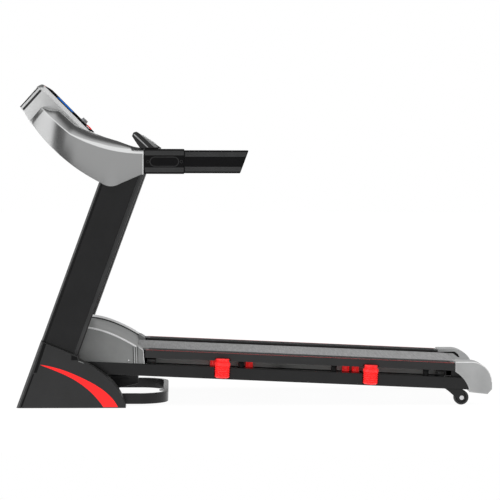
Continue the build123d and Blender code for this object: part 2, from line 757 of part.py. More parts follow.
def power_inlet():
    """Three-pin mains inlet let into the pan's front wall."""
    inlet = deck_box(PAN_U[0], PAN_U[0] + 20, 60, 88, -95, -70)
    inlet += deck_box(PAN_U[0] - 2, PAN_U[0], 56, 92, -98, -67)
    inlet -= deck_box(PAN_U[0] - 3, PAN_U[0] + 15, 63, 85, -92, -73)
    for y, w in ((68, -80), (80, -80), (74, -86)):
        inlet += deck_box(PAN_U[0] + 1, PAN_U[0] + 15, y - 1, y + 1, w - 2.5, w + 2.5)
    return inlet


def power_switch():
    """Rocker of the mains switch."""
    rocker = deck_box(PAN_U[0] - 6, PAN_U[0] + 8, *SWITCH_Y, SWITCH_W - 11, SWITCH_W + 11)
    wedge = [(PAN_U[0] - 7, SWITCH_W - 12), (PAN_U[0] - 2.5, SWITCH_W), (PAN_U[0] - 7, SWITCH_W + 12)]
    rocker -= DECK * slab(polygon(wedge), SWITCH_Y[0] - 1, SWITCH_Y[1] + 1)
    return rocker - switch_pivot(SWITCH_PIN_R + RUN_FIT, SWITCH_Y[0] - 1, SWITCH_Y[1] + 1)


def controller_box():
    """Motor controller."""
    return deck_box(-750, -640, 60, 250, BEAM_LOW + 3, -63)


# ---- Hood and end caps ----
HOOD_HALF = 335.0
HOOD_REAR = -482.0
HOOD_WALL = 3.0
HOOD_TOP = [(-768, 305), (-710, 321), (-653, 316), (-601, 301), (-544, 276), (-482, 241)]


def hood_base(u):
    """Point on the hood's lower edge, just above the beam."""
    a = radians(DECK_SLOPE)
    w = BEAM_TOP + SKIN_GAP
    return u * cos(a) + w * sin(a), RAIL_TOP_Z - u * sin(a) + w * cos(a)


def motor_hood():
    """Sloping cover over the motor bay, open below and towards the belt."""
    outline = [hood_base(-790), (-800, 262)] + HOOD_TOP + [hood_base(-480.5)]
    solid = slab(polygon(outline), -HOOD_HALF, HOOD_HALF)
    core = offset(make_face(polygon(outline)), -HOOD_WALL, kind=Kind.INTERSECTION)
    inner_half = HOOD_HALF - HOOD_WALL
    hollow = extrude(Plane.XZ.offset(-inner_half) * core, amount=2 * inner_half, dir=(0, -1, 0))
    hollow += Pos(0, 0, -8) * hollow
    solid -= hollow
    return solid - box(HOOD_REAR - 8, HOOD_REAR + 8, -239, 239, 150, 232)


def hood_corner():
    """Corner block between the hood and the foot rail."""
    outline = [(HOOD_REAR + 0.5, 240), (-470, 234), (-457, 222), (-447.5, 168.2), hood_base(-480)]
    return slab(polygon(outline), -HOOD_HALF, -RAIL_IN)


def rear_cap():
    """Hollow end cap over rail, beam end and roller bearing."""
    left_top, arc_top, arc_low = (RAIL_REAR + 0.8, 176), (RAIL_REAR + 0.8, 135), (869, 52)
    edges = [
        Line(left_top, (880, 176)),
        ThreePointArc((880, 176), (932, 153), (959.5, 93)),
        Line((959.5, 93), (959.5, 64)),
        Line((959.5, 64), (941, 44)),
        Line((941, 44), arc_low),
        ThreePointArc(arc_low, (846, 103), arc_top),
        Line(arc_top, left_top),
    ]
    cap = slab(edges, -DECK_HALF - 5, -RAIL_IN)
    cavity = [
        Line((790, 172.5), (880, 172.5)),
        ThreePointArc((880, 172.5), (929.5, 150.7), (956, 92)),
        Line((956, 92), (956, 66)),
        Line((956, 66), (939.5, 47.6)),
        Line((939.5, 47.6), (790, 59)),
        Line((790, 59), (790, 172.5)),
    ]
    cap -= slab(cavity, -DECK_HALF - 1.5, -RAIL_IN - 3.5)
    return cap - deck_cross_cylinder(REAR_ROLLER_U, ROLLER_W, 12, -RAIL_IN - 5, -RAIL_IN + 1)


# ---- Transport wheels and folding strut ----
WHEEL_Y = (301.0, 329.0)
FORK_Y = ((-338.0, -332.0), (-297.0, -291.0))


def wheel_bracket():
    """Pair of fork plates under the rear end of a beam."""
    u0, u1 = 776, 843
    plates = []
    for y0, y1 in FORK_Y:
        hub = Pos(WHEEL_X, WHEEL_R) * Circle(15)
        top = make_face(Polyline((u0, 63), (u1, 61), (u1, 60), (u0, 62), close=True))
        hull = make_hull(hub.edges() + top.edges())
        plate = extrude(Plane.XZ.offset(-y1) * hull, amount=y1 - y0, dir=(0, -1, 0))
        plate += deck_box(u0 + 4, u1 + 4, y0, y1, BEAM_LOW - 6, BEAM_LOW)
        plate -= cross_cylinder(WHEEL_X, WHEEL_R, 5, y0 - 1, y1 + 1)
        plates.append(plate)
    return group(*plates)


def wheel_bolt():
    """Bolt that the wheel turns on."""
    bolt = cross_cylinder(WHEEL_X, WHEEL_R, 5, -338, -289)
    return bolt + cross_cylinder(WHEEL_X, WHEEL_R, 9, -343, -338)


def rear_wheel():
    """Grooved transport wheel."""
    wheel = cross_cylinder(WHEEL_X, WHEEL_R, WHEEL_R, -WHEEL_Y[1], -WHEEL_Y[0])
    for y in (-WHEEL_Y[1], -WHEEL_Y[0]):
        wheel -= cross_cylinder(WHEEL_X, WHEEL_R, 20, y - 3, y + 3) - cross_cylinder(
            WHEEL_X, WHEEL_R, 9, y - 4, y + 4
        )
    return wheel - cross_cylinder(WHEEL_X, WHEEL_R, 5 + RUN_FIT, -340, -280)


def strut_frame():
    """Plane whose X axis runs from the lower eye to the upper eye."""
    dx, dz = STRUT_HIGH[0] - STRUT_LOW[0], STRUT_HIGH[1] - STRUT_LOW[1]
    length = (dx * dx + dz * dz) ** 0.5
    z_dir = (0, -1, 0)
    plane = Plane(origin=(STRUT_LOW[0], 0, STRUT_LOW[1]), x_dir=(dx / length, 0, dz / length), z_dir=z_dir)
    return Location(plane), length


def along_strut(start, end, radius):
    """Cylinder on the strut's centre line."""
    place, _ = strut_frame()
    return place * Pos((start + end) / 2, 0, 0) * Rot(0, 90, 0) * Cylinder(radius, end - start)


def eye(at, bore):
    """Flat eye across the strut; bore 0 leaves it solid."""
    place, _ = strut_frame()
    ring = place * Pos(at, 0, 0) * Cylinder(12, 30)
    if bore:
        ring -= place * Pos(at, 0, 0) * Cylinder(bore, 32)
    return ring


def strut_cylinder():
    """Gas cylinder, hinged on the base."""
    tube = along_strut(10, 300, 14) + eye(0, 0)
    tube -= eye_hole()
    return tube - along_strut(40, 301, 6 + RUN_FIT)


def eye_hole():
    """Bore for the lower pin."""
    place, _ = strut_frame()
    return place * Cylinder(6 + RUN_FIT, 40)


def strut_rod():
    """Piston rod with its eye between the upper ears."""
    _, length = strut_frame()
    return along_strut(60, length - 8, 6) + eye(length, 0)


def main():
    os.makedirs("parts", exist_ok=True)
    save("base_frame", base_frame())
    save("floor_loop", floor_loop())
    save("base_feet", base_feet())
    save_pair("base_cover", base_cover())
    save("cover_stripes", both_sides(cover_stripe()))
    save_pair("upright", upright())
    save("fold_pins", both_sides(fold_pin()))
    save_pair("arm", arm())
    save("handrail_tubes", both_sides(handrail_tube()))
    save_pair("handrail_sleeve", handrail_sleeve())
    save_pair("handrail_grip", handrail_grip())
    save("pulse_bar", pulse_bar())
    save("pulse_plates", pulse_plates())
    save("console_bracket", console_bracket())
    save("console_back", console_back())
    save("console_bezel", console_bezel())
    save("console_panel", console_panel())
    save("display_lens", display_lens())
    save("circuit_board", circuit_board())
    save("speed_knob", speed_knob())
    for name, y in KEY_Y.items():
        save(name, panel_key(y))
    save("safety_key", safety_key())
    save_pair("deck_beam", deck_beam())
    save("cross_tubes", cross_tubes())
    save_pair("side_rail", side_rail())
    save("running_board", running_board())
    save("side_dampers", both_sides(group(*[side_damper(u) for u in DAMPER_U])))
    save("board_cushions", both_sides(group(*[board_cushion(u) for u in CUSHION_U])))
    save("walking_belt", walking_belt())
    save("front_roller", roller(FRONT_ROLLER_U))
    save("rear_roller", roller(REAR_ROLLER_U))
    save("roller_axles", roller_axles())
    save("roller_pulley", roller_pulley())
    save("drive_motor", drive_motor())
    save("motor_shaft", motor_shaft())
    save("drive_belt", drive_belt())
    save("motor_pan", motor_pan())
    save("power_inlet", power_inlet())
    save("power_switch", power_switch())
    save("controller_box", controller_box())
    save("motor_hood", motor_hood())
    save("hood_corners", both_sides(hood_corner()))
    save_pair("rear_cap", rear_cap())
    save("wheel_brackets", both_sides(wheel_bracket()))
    save("wheel_bolts", both_sides(wheel_bolt()))
    save_pair("rear_wheel", rear_wheel())
    save("strut_cylinder", strut_cylinder())
    save("strut_rod", strut_rod())


main()
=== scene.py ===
import json
import math

import bmesh
import bpy
from mathutils import Matrix, Quaternion, Vector


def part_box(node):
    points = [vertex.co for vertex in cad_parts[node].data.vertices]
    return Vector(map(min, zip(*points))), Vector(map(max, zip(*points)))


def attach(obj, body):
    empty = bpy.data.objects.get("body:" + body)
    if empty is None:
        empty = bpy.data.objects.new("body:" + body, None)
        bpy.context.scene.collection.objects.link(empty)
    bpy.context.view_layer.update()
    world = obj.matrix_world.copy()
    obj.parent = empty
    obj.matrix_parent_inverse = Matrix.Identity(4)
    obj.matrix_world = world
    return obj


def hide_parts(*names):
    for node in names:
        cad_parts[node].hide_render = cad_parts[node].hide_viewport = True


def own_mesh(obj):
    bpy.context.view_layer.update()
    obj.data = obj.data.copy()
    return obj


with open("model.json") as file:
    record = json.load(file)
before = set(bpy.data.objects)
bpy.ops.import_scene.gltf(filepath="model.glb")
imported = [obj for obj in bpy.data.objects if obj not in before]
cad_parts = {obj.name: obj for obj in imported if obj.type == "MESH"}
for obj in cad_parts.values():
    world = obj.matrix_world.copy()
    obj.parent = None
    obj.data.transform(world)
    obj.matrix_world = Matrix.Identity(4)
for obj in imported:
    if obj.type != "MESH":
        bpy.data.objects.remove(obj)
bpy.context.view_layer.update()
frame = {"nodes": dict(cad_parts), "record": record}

NODES = frame["nodes"]
MEMBERS = frame["record"]["behaviour"]["bodies"]
BODIES = {node: body for body, members in MEMBERS.items() for node in members}
SLOTS = {part["node"]: part["material_slot"] for part in frame["record"]["subparts"]}


# ---- Placing things by the frame ----
def low(node):
    return Vector(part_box(node)[0])


def high(node):
    return Vector(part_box(node)[1])


def middle(node):
    return (low(node) + high(node)) / 2


def new_object(name, data):
    """An object in the scene."""
    item = bpy.data.objects.new(name, data)
    bpy.context.scene.collection.objects.link(item)
    return item


# ---- Camera, light and floor ----
CAMERA_AT = Vector((-0.3175, -8.904, 0.9983))
CAMERA_AIM = Vector((-0.0127, 0.0, 0.6142))
CAMERA_ROLL = 0.12
LENS = 153.2


def add_camera():
    data = bpy.data.cameras.new("camera")
    data.sensor_width = 36.0
    data.lens = LENS
    camera = new_object("camera", data)
    camera.location = CAMERA_AT
    camera.rotation_mode = "QUATERNION"
    level = (CAMERA_AIM - CAMERA_AT).to_track_quat("-Z", "Y")
    camera.rotation_quaternion = level @ Quaternion((0, 0, 1), math.radians(CAMERA_ROLL))
    bpy.context.scene.camera = camera


def add_overhead():
    """Large soft light above the object."""
    place, aim = Vector((0.0, -0.6, 4.2)), Vector((0.0, 0.0, 0.4))
    data = bpy.data.lights.new("overhead", "AREA")
    data.shape = "RECTANGLE"
    data.size, data.size_y = 4.5, 2.5
    data.energy = 30
    light = new_object("overhead", data)
    light.location = place
    light.rotation_mode = "QUATERNION"
    light.rotation_quaternion = (aim - place).to_track_quat("-Z", "Y")


def add_floor():
    """Pale floor, lit mostly from within so that it stays even far from the lights."""
    mesh = bpy.data.meshes.new("floor")
    reach, front, sunk = 30.0, -1.7, -0.0008
    corners = [(-reach, front, sunk), (reach, front, sunk), (reach, reach, sunk), (-reach, reach, sunk)]
    mesh.from_pydata(corners, [], [(0, 1, 2, 3)])
    floor = new_object("floor", mesh)
    material, shader, tree = new_material("floor_white", (0.10, 0.10, 0.10), 0.9)
    shader.inputs["Specular IOR Level"].default_value = 0.0
    shader.inputs["Emission Color"].default_value = (1, 1, 1, 1)
    shader.inputs["Emission Strength"].default_value = 0.95
    mesh.materials.append(material)


def smooth_step(tree, value, start, end, height):
    """A value raised from 0 to height while another goes from start to end."""
    step = tree.nodes.new("ShaderNodeMapRange")
    step.interpolation_type = "SMOOTHSTEP"
    step.inputs["From Min"].default_value = start
    step.inputs["From Max"].default_value = end
    step.inputs["To Max"].default_value = height
    tree.links.new(value, step.inputs["Value"])
    return step.outputs["Result"]


def calculate(tree, operation, first, second):
    node = tree.nodes.new("ShaderNodeMath")
    node.operation = operation
    for socket, value in zip(node.inputs, (first, second)):
        if isinstance(value, float):
            socket.default_value = value
        else:
            tree.links.new(value, socket)
    return node.outputs[0]


def light_patch(tree, place, aim, inner, outer, strength, tall=1.0):
    """A soft patch of light round a direction; inner and outer are its half-angles across."""
    if tall > 1.0:
        squeezed = tree.nodes.new("ShaderNodeVectorMath")
        squeezed.operation = "MULTIPLY"
        squeezed.inputs[1].default_value = (1.0, 1.0, 1.0 / tall)
        unit = tree.nodes.new("ShaderNodeVectorMath")
        unit.operation = "NORMALIZE"
        tree.links.new(place, squeezed.inputs[0])
        tree.links.new(squeezed.outputs[0], unit.inputs[0])
        place = unit.outputs[0]
    dot = tree.nodes.new("ShaderNodeVectorMath")
    dot.operation = "DOT_PRODUCT"
    dot.inputs[1].default_value = Vector(aim).normalized()
    tree.links.new(place, dot.inputs[0])
    edge, core = math.cos(math.radians(outer)), math.cos(math.radians(inner))
    return smooth_step(tree, dot.outputs["Value"], edge, core, strength)


# direction, half-angles in degrees, strength and stretch in height of each patch of studio light
PATCHES = (
    ((0.0, 0.1, 1.0), 26, 48, 1.0),
    ((-0.02, -1.0, 0.0), 10, 22, 0.7, 3.0),
    ((-0.5, -0.6, 0.66), 7, 18, 0.6),
    ((-0.80, -0.60, 0.0), 13, 19, 1.6, 4.0),
    ((0.8, -0.35, 0.5), 12, 30, 0.7),
    ((-1.0, 0.18, 0.08), 12, 30, 3.0),
    ((1.0, 0.1, 0.1), 12, 30, 1.0),
)
ROOM_LEVEL = 0.07
BACKDROP_LEVEL = 0.85


def add_world():
    """White to the camera; for light a studio with an overhead box and a pale backdrop."""
    world = bpy.data.worlds.new("studio")
    bpy.context.scene.world = world
    world.use_nodes = True
    tree = world.node_tree
    tree.nodes.clear()
    place = tree.nodes.new("ShaderNodeTexCoord").outputs["Generated"]
    split = tree.nodes.new("ShaderNodeSeparateXYZ")
    tree.links.new(place, split.inputs[0])
    behind = smooth_step(tree, split.outputs["Y"], -0.35, 0.1, BACKDROP_LEVEL)
    height = calculate(tree, "ABSOLUTE", split.outputs["Z"], 0.0)
    below = smooth_step(tree, height, 0.3, 0.12, 1.0)
    level = calculate(tree, "MULTIPLY", behind, below)
    level = calculate(tree, "ADD", level, ROOM_LEVEL)
    for patch in PATCHES:
        level = calculate(tree, "ADD", level, light_patch(tree, place, *patch))
    room = tree.nodes.new("ShaderNodeBackground")
    tree.links.new(level, room.inputs["Strength"])
    seen = tree.nodes.new("ShaderNodeBackground")
    path = tree.nodes.new("ShaderNodeLightPath")
    mix = tree.nodes.new("ShaderNodeMixShader")
    out = tree.nodes.new("ShaderNodeOutputWorld")
    for background in (room, seen):
        background.inputs["Color"].default_value = (1, 1, 1, 1)
    tree.links.new(path.outputs["Is Camera Ray"], mix.inputs["Fac"])
    tree.links.new(room.outputs[0], mix.inputs[1])
    tree.links.new(seen.outputs[0], mix.inputs[2])
    tree.links.new(mix.outputs[0], out.inputs["Surface"])


def add_studio():
    add_camera()
    add_world()
    add_floor()
    add_overhead()
    bpy.context.scene.view_settings.view_transform = "Standard"


# ---- Materials ----
def new_material(name, color, roughness, metallic=0.0):
    material = bpy.data.materials.new(name)
    material.use_nodes = True
    tree = material.node_tree
    shader = tree.nodes["Principled BSDF"]
    shader.inputs["Base Color"].default_value = (*color, 1)
    shader.inputs["Roughness"].default_value = roughness
    shader.inputs["Metallic"].default_value = metallic
    return material, shader, tree


def object_place(tree, scale=(1, 1, 1)):
    """Object coordinates, stretched."""
    coord = tree.nodes.new("ShaderNodeTexCoord")
    mapping = tree.nodes.new("ShaderNodeMapping")
    mapping.inputs["Scale"].default_value = scale
    tree.links.new(coord.outputs["Object"], mapping.inputs["Vector"])
    return mapping.outputs["Vector"]


def noise(tree, place, scale, detail=3.0, rough=0.55):
    node = tree.nodes.new("ShaderNodeTexNoise")
    node.inputs["Scale"].default_value = scale
    node.inputs["Detail"].default_value = detail
    node.inputs["Roughness"].default_value = rough
    tree.links.new(place, node.inputs["Vector"])
    return node.outputs["Fac"]


def tint(tree, shader, value, dark, light, spread=(0.3, 0.7)):
    """Base colour that varies between two tones."""
    ramp = tree.nodes.new("ShaderNodeValToRGB")
    ramp.color_ramp.elements[0].position = spread[0]
    ramp.color_ramp.elements[1].position = spread[1]
    ramp.color_ramp.elements[0].color = (*dark, 1)
    ramp.color_ramp.elements[1].color = (*light, 1)
    tree.links.new(value, ramp.inputs["Fac"])
    tree.links.new(ramp.outputs["Color"], shader.inputs["Base Color"])


def roughen(tree, shader, value, lowest, highest):
    """Roughness that varies between two values."""
    span = tree.nodes.new("ShaderNodeMapRange")
    span.inputs["To Min"].default_value = lowest
    span.inputs["To Max"].default_value = highest
    tree.links.new(value, span.inputs["Value"])
    tree.links.new(span.outputs["Result"], shader.inputs["Roughness"])


def bump(tree, shader, value, strength, depth):
    node = tree.nodes.new("ShaderNodeBump")
    node.inputs["Strength"].default_value = strength
    node.inputs["Distance"].default_value = depth
    tree.links.new(value, node.inputs["Height"])
    tree.links.new(node.outputs["Normal"], shader.inputs["Normal"])


def shade(color, factor):
    return tuple(channel * factor for channel in color)


def plastic(name, color, roughness, coat=0.0):
    """Moulded plastic: fine spark texture and faint tone drift."""
    material, shader, tree = new_material(name, color, roughness)
    place = object_place(tree)
    tint(tree, shader, noise(tree, place, 9.0), shade(color, 0.88), shade(color, 1.1))
    roughen(tree, shader, noise(tree, place, 35.0), roughness * 0.88, min(1.0, roughness * 1.14))
    bump(tree, shader, noise(tree, place, 900.0, 2.0), 0.12, 0.0002)
    shader.inputs["Coat Weight"].default_value = coat
    shader.inputs["Coat Roughness"].default_value = 0.12
    return material


def lacquer(name, color, roughness):
    """Silver lacquer on plastic: metal flake under a soft clear coat."""
    material, shader, tree = new_material(name, color, roughness, 0.88)
    place = object_place(tree)
    flake = noise(tree, place, 2600.0, 1.0)
    tint(tree, shader, flake, shade(color, 0.96), shade(color, 1.04), (0.35, 0.65))
    roughen(tree, shader, noise(tree, place, 60.0), roughness * 0.93, roughness * 1.08)
    bump(tree, shader, flake, 0.03, 0.00002)
    return material


def powder(name, color, roughness):
    """Powder-coated steel: orange peel and a dusty sheen."""
    material, shader, tree = new_material(name, color, roughness)
    place = object_place(tree)
    tint(tree, shader, noise(tree, place, 14.0), shade(color, 0.85), shade(color, 1.18))
    roughen(tree, shader, noise(tree, place, 220.0), roughness * 0.9, roughness * 1.12)
    bump(tree, shader, noise(tree, place, 520.0, 2.0), 0.1, 0.0003)
    return material


def metal(name, color, roughness, stretch=(1, 40, 1)):
    """Turned or brushed metal with fine lines along one direction."""
    material, shader, tree = new_material(name, color, roughness, 1.0)
    place = object_place(tree, stretch)
    lines = noise(tree, place, 60.0, 4.0)
    tint(tree, shader, lines, shade(color, 0.85), shade(color, 1.1))
    roughen(tree, shader, lines, roughness * 0.75, roughness * 1.3)
    return material


def rubber(name, color, roughness):
    """Moulded rubber: matte, faintly bloomed."""
    material, shader, tree = new_material(name, color, roughness)
    place = object_place(tree)
    tint(tree, shader, noise(tree, place, 24.0), shade(color, 0.85), shade(color, 1.2))
    bump(tree, shader, noise(tree, place, 1500.0, 2.0), 0.2, 0.0002)
    shader.inputs["Sheen Weight"].default_value = 0.08
    return material


def walked_belt():
    """Black PVC belt: fine woven emboss and dusty grey speckle."""
    material, shader, tree = new_material("belt", (0.2, 0.2, 0.2), 0.8)
    place = object_place(tree)
    cells = tree.nodes.new("ShaderNodeTexVoronoi")
    cells.inputs["Scale"].default_value = 420.0
    tree.links.new(place, cells.inputs["Vector"])
    speckle = noise(tree, object_place(tree, (1.0, 0.06, 1.0)), 170.0, 4.0, 0.7)
    weave = calculate(tree, "ADD", cells.outputs["Distance"], speckle)
    tint(tree, shader, speckle, (0.26, 0.26, 0.262), (0.44, 0.44, 0.442))
    bump(tree, shader, weave, 0.45, 0.0004)
    shader.inputs["Specular IOR Level"].default_value = 0.3
    return material


def board_wood():
    """Phenolic-faced board: dark film over pressed wood lines."""
    material, shader, tree = new_material("board_wood", (0.1, 0.06, 0.035), 0.45)
    place = object_place(tree, (3, 60, 200))
    grain = noise(tree, place, 6.0, 5.0)
    tint(tree, shader, grain, (0.035, 0.022, 0.015), (0.1, 0.06, 0.035))
    bump(tree, shader, grain, 0.15, 0.0003)
    return material


def circuit_green():
    """Green solder mask with copper tone drift."""
    material, shader, tree = new_material("board_green", (0.02, 0.12, 0.05), 0.35)
    place = object_place(tree)
    drift = noise(tree, place, 160.0, 2.0)
    tint(tree, shader, drift, (0.012, 0.08, 0.03), (0.03, 0.18, 0.07), (0.45, 0.55))
    return material


def screen_glass():
    """Lit blue display behind smoked glass."""
    material, shader, tree = new_material("screen_glass", (0.012, 0.03, 0.12), 0.06)
    place = object_place(tree)
    rows = tree.nodes.new("ShaderNodeTexWave")
    rows.wave_type = "BANDS"
    rows.bands_direction = "Z"
    rows.inputs["Scale"].default_value = 46.0
    rows.inputs["Distortion"].default_value = 0.0
    tree.links.new(place, rows.inputs["Vector"])
    ramp = tree.nodes.new("ShaderNodeValToRGB")
    ramp.color_ramp.elements[0].color = (0.01, 0.10, 0.55, 1)
    ramp.color_ramp.elements[1].color = (0.03, 0.26, 0.85, 1)
    tree.links.new(rows.outputs["Fac"], ramp.inputs["Fac"])
    tree.links.new(ramp.outputs["Color"], shader.inputs["Emission Color"])
    shader.inputs["Emission Strength"].default_value = 0.7
    shader.inputs["Specular IOR Level"].default_value = 0.0
    return material


def dulled(material, level):
    """Weaker surface reflections."""
    material.node_tree.nodes["Principled BSDF"].inputs["Specular IOR Level"].default_value = level
    return material


def painted_glow(material, color, strength):
    """Painted glow: emission that paints light onto a bright pigment, so that it keeps its colour in shade.
    """
    shader = material.node_tree.nodes["Principled BSDF"]
    shader.inputs["Emission Color"].default_value = (*color, 1)
    shader.inputs["Emission Strength"].default_value = strength
    return material


# red rubber with a painted glow, so that it stays bright in shade
def red_rubber():
    return painted_glow(rubber("red_rubber", (0.95, 0.014, 0.014), 0.34), (1.0, 0.025, 0.025), 0.3)


# red trim with a painted glow, so that it stays bright in shade
def red_trim():
    trim = dulled(plastic("red_trim", (1.0, 0.015, 0.015), 0.38), 0.25)
    return painted_glow(trim, (1.0, 0.03, 0.03), 0.36)


FINISHES = {
    "black_steel": dulled(powder("black_steel", (0.010, 0.010, 0.0105), 0.24), 0.3),
    "black_shell": dulled(plastic("black_shell", (0.024, 0.024, 0.0245), 0.38), 0.35),
    "black_grip": dulled(rubber("black_grip", (0.004, 0.004, 0.0043), 0.42), 0.12),
    "foot_rubber": rubber("foot_rubber", (0.012, 0.012, 0.012), 0.8),
    "wheel_tyre": rubber("wheel_tyre", (0.02, 0.02, 0.021), 0.5),
    # the red rubber and red trim finishes carry a painted glow
    "red_rubber": red_rubber(),
    "red_trim": red_trim(),
    "bright_steel": metal("bright_steel", (0.62, 0.62, 0.63), 0.25),
    "sensor_steel": metal("sensor_steel", (0.7, 0.7, 0.71), 0.22, (40, 1, 40)),
    "pulley_iron": metal("pulley_iron", (0.24, 0.24, 0.25), 0.4),
    "silver_shell": lacquer("silver_shell", (0.41, 0.413, 0.413), 0.2),
    "pale_shell": plastic("pale_shell", (0.86, 0.865, 0.865), 0.34, coat=0.3),
    "cap_shell": plastic("cap_shell", (0.44, 0.445, 0.445), 0.36),
    "grey_shell": plastic("grey_shell", (0.25, 0.255, 0.252), 0.38),
    "panel_black": dulled(plastic("panel_black", (0.008, 0.008, 0.009), 0.3), 0.0),
    "screen_glass": screen_glass(),
    "board_green": circuit_green(),
    "board_wood": board_wood(),
    "belt_cover": walked_belt(),
    "motor_paint": dulled(powder("motor_paint", (0.04, 0.0405, 0.041), 0.45), 0.3),
    "strut_paint": powder("strut_paint", (0.016, 0.016, 0.017), 0.25),
    "knob_grey": plastic("knob_grey", (0.4, 0.402, 0.405), 0.35),
    "key_plastic": plastic("key_plastic", (0.62, 0.63, 0.64), 0.35),
}


def dress(piece, slot):
    """Gives a piece its slot's material."""
    piece.data.materials.clear()
    piece.data.materials.append(FINISHES[slot])


def dress_cad_nodes():
    """Gives each CAD node the finish of its slot."""
    for node, piece in NODES.items():
        finish = FINISHES[SLOTS[node]]
        for slot in piece.material_slots:
            slot.material = finish
        if not piece.material_slots:
            piece.data.materials.append(finish)


# ---- Mesh tools ----
CAD_EDGE_ANGLE = 32.0  # degrees; sharper edges of a CAD shape are softened


def add_piece(name, mesh, body, slot):
    """A new object that rides on a body and wears a slot's finish."""
    piece = new_object(name, mesh)
    dress(piece, slot)
    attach(piece, body)
    return piece


def smooth(mesh, angle):
    """Smooth shading with edges sharper than angle kept hard."""
    mesh.shade_smooth()
    mesh.set_sharp_from_angle(angle=math.radians(angle))


def cad_mesh(node, name):
    """A copy of a CAD node's mesh with its flat faces joined up again."""
    mesh = NODES[node].data.copy()
    mesh.name = name
    form = bmesh.new()
    form.from_mesh(mesh)
    bmesh.ops.remove_doubles(form, verts=form.verts, dist=2e-6)
    bmesh.ops.dissolve_limit(form, angle_limit=math.radians(1.2), verts=form.verts, edges=form.edges)
    form.to_mesh(mesh)
    form.free()
    custom_normals = mesh.attributes.get("custom_normal")
    if custom_normals:
        mesh.attributes.remove(custom_normals)
    return mesh


def add_bevel(piece, width, segments, angle, clamp):
    """Softens the edges where faces turn by more than an angle."""
    bevel = piece.modifiers.new("edges", "BEVEL")
    bevel.width = width
    bevel.segments = segments
    bevel.limit_method = "ANGLE"
    bevel.angle_limit = math.radians(angle)
    bevel.harden_normals = True
    bevel.use_clamp_overlap = clamp


def rounded(node, width):
    """The CAD node's shape with softened edges, standing for the node."""
    name = node + "_shell"
    piece = add_piece(name, cad_mesh(node, name), BODIES[node], SLOTS[node])
    smooth(piece.data, CAD_EDGE_ANGLE)
    add_bevel(piece, width, 3, CAD_EDGE_ANGLE, False)
    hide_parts(node)


# ---- Shape tools: points are millimetres in the shared frame ----
def closed_mesh(name, verts, faces):
    """A mesh with its faces turned outward."""
    mesh = bpy.data.meshes.new(name)
    mesh.from_pydata(verts, [], faces)
    form = bmesh.new()
    form.from_mesh(mesh)
    bmesh.ops.recalc_face_normals(form, faces=form.faces)
    form.to_mesh(mesh)
    form.free()
    return mesh


def loft(name, loops, ring=False):
    """A closed mesh through loops of equal length; a ring joins its last loop to its first."""
    count = len(loops[0])
    verts = [(x / 1000, y / 1000, z / 1000) for loop in loops for x, y, z in loop]
    follow = [(i, i + 1) for i in range(len(loops) - 1)]
    if ring:
        follow.append((len(loops) - 1, 0))
    faces = []
    for i, k in follow:
        for j in range(count):
            n = (j + 1) % count
            faces.append((i * count + j, i * count + n, k * count + n, k * count + j))
    if not ring:
        faces.append(tuple(range(count))[::-1])
        faces.append(tuple(range(len(verts) - count, len(verts))))
    return closed_mesh(name, verts, faces)


def layered(name, layers):
    """A loft through (y, side outline) layers."""
    return loft(name, [[(x, y, z) for x, z in outline] for y, outline in layers])


def plate(outline, face, proud, deep, drawn=0.0):
    """Plate across a face, from face - proud to face + deep in y, drawn in on its first side."""
    return layered("plate", [(face - proud, inset(outline, drawn)), (face + deep, outline)])


def hollow_bar(outer, inner, y0, y1):
    """Tube across the object between two outlines of (x, z) points."""
    shapes = [(y0, outer), (y0, inner), (y1, inner), (y1, outer)]
    return loft("tube", [[(x, y, z) for x, z in shape] for y, shape in shapes], ring=True)


def inset(points, amount):
    """A closed outline drawn in by an amount, or by one amount for each edge."""
    after = points[1:] + points[:1]
    turn = sum(ax * bz - bx * az for (ax, az), (bx, bz) in zip(points, after))
    side = 1 if turn > 0 else -1
    amounts = amount if isinstance(amount, list) else [amount] * len(points)
    lines = []
    for (ax, az), (bx, bz), by in zip(points, after, amounts):
        length = math.hypot(bx - ax, bz - az)
        dx, dz = (bx - ax) / length, (bz - az) / length
        lines.append((ax - side * dz * by, az + side * dx * by, dx, dz))
    result = []
    for (ax, az, dx, dz), (bx, bz, ex, ez) in zip(lines[-1:] + lines[:-1], lines):
        cross = dx * ez - dz * ex
        share = ((bx - ax) * ez - (bz - az) * ex) / cross if abs(cross) > 1e-4 else 0.0
        result.append((ax + dx * share, az + dz * share) if share else (bx, bz))
    return result


def lathe(name, profile, steps=40):
    """A turned solid round Z from (radius, height) points, bottom first."""
    loops = []
    for radius, z in profile:
        angles = [math.tau * i / steps for i in range(steps)]
        loops.append([(radius * math.cos(angle), radius * math.sin(angle), z) for angle in angles])
    return loft(name, loops)


def moved(mesh, matrix):
    mesh.transform(matrix)
    return mesh


def mirrored(mesh):
    """A copy of a mesh on the other side of the middle plane."""
    other = mesh.copy()
    other.transform(Matrix.Scale(-1, 4, Vector((0, 1, 0))))
    other.flip_normals()
    return other


def joined(name, meshes):
    """Several meshes as one, their own data freed."""
    form = bmesh.new()
    for mesh in meshes:
        form.from_mesh(mesh)
        bpy.data.meshes.remove(mesh)
    whole = bpy.data.meshes.new(name)
    form.to_mesh(whole)
    form.free()
    return whole


def finished(name, mesh, node, slot=None, angle=30.0, width=0.0):
    """A piece on a node's body with smooth shading and softened edges."""
    piece = add_piece(name, mesh, BODIES[node], slot or SLOTS[node])
    smooth(piece.data, angle)
    if width:
        add_bevel(piece, width, 2, angle, True)
    return piece


def paired(name, meshes, node, slot=None, angle=30.0, width=0.0):
    """One finished piece of meshes and their mirror images."""
    both = []
    for mesh in meshes:
        both += [mesh, mirrored(mesh)]
    return finished(name, joined(name, both), node, slot, angle, width)


def curve_points(start, through, end, steps):
    """Points of a quadratic curve that heads for its middle point at both ends."""
    points = []
    for i in range(steps + 1):
        t = i / steps
        weights = ((1 - t) ** 2, 2 * t * (1 - t), t * t)
        points.append(tuple(sum(w * p[k] for w, p in zip(weights, (start, through, end))) for k in (0, 1)))
    return points


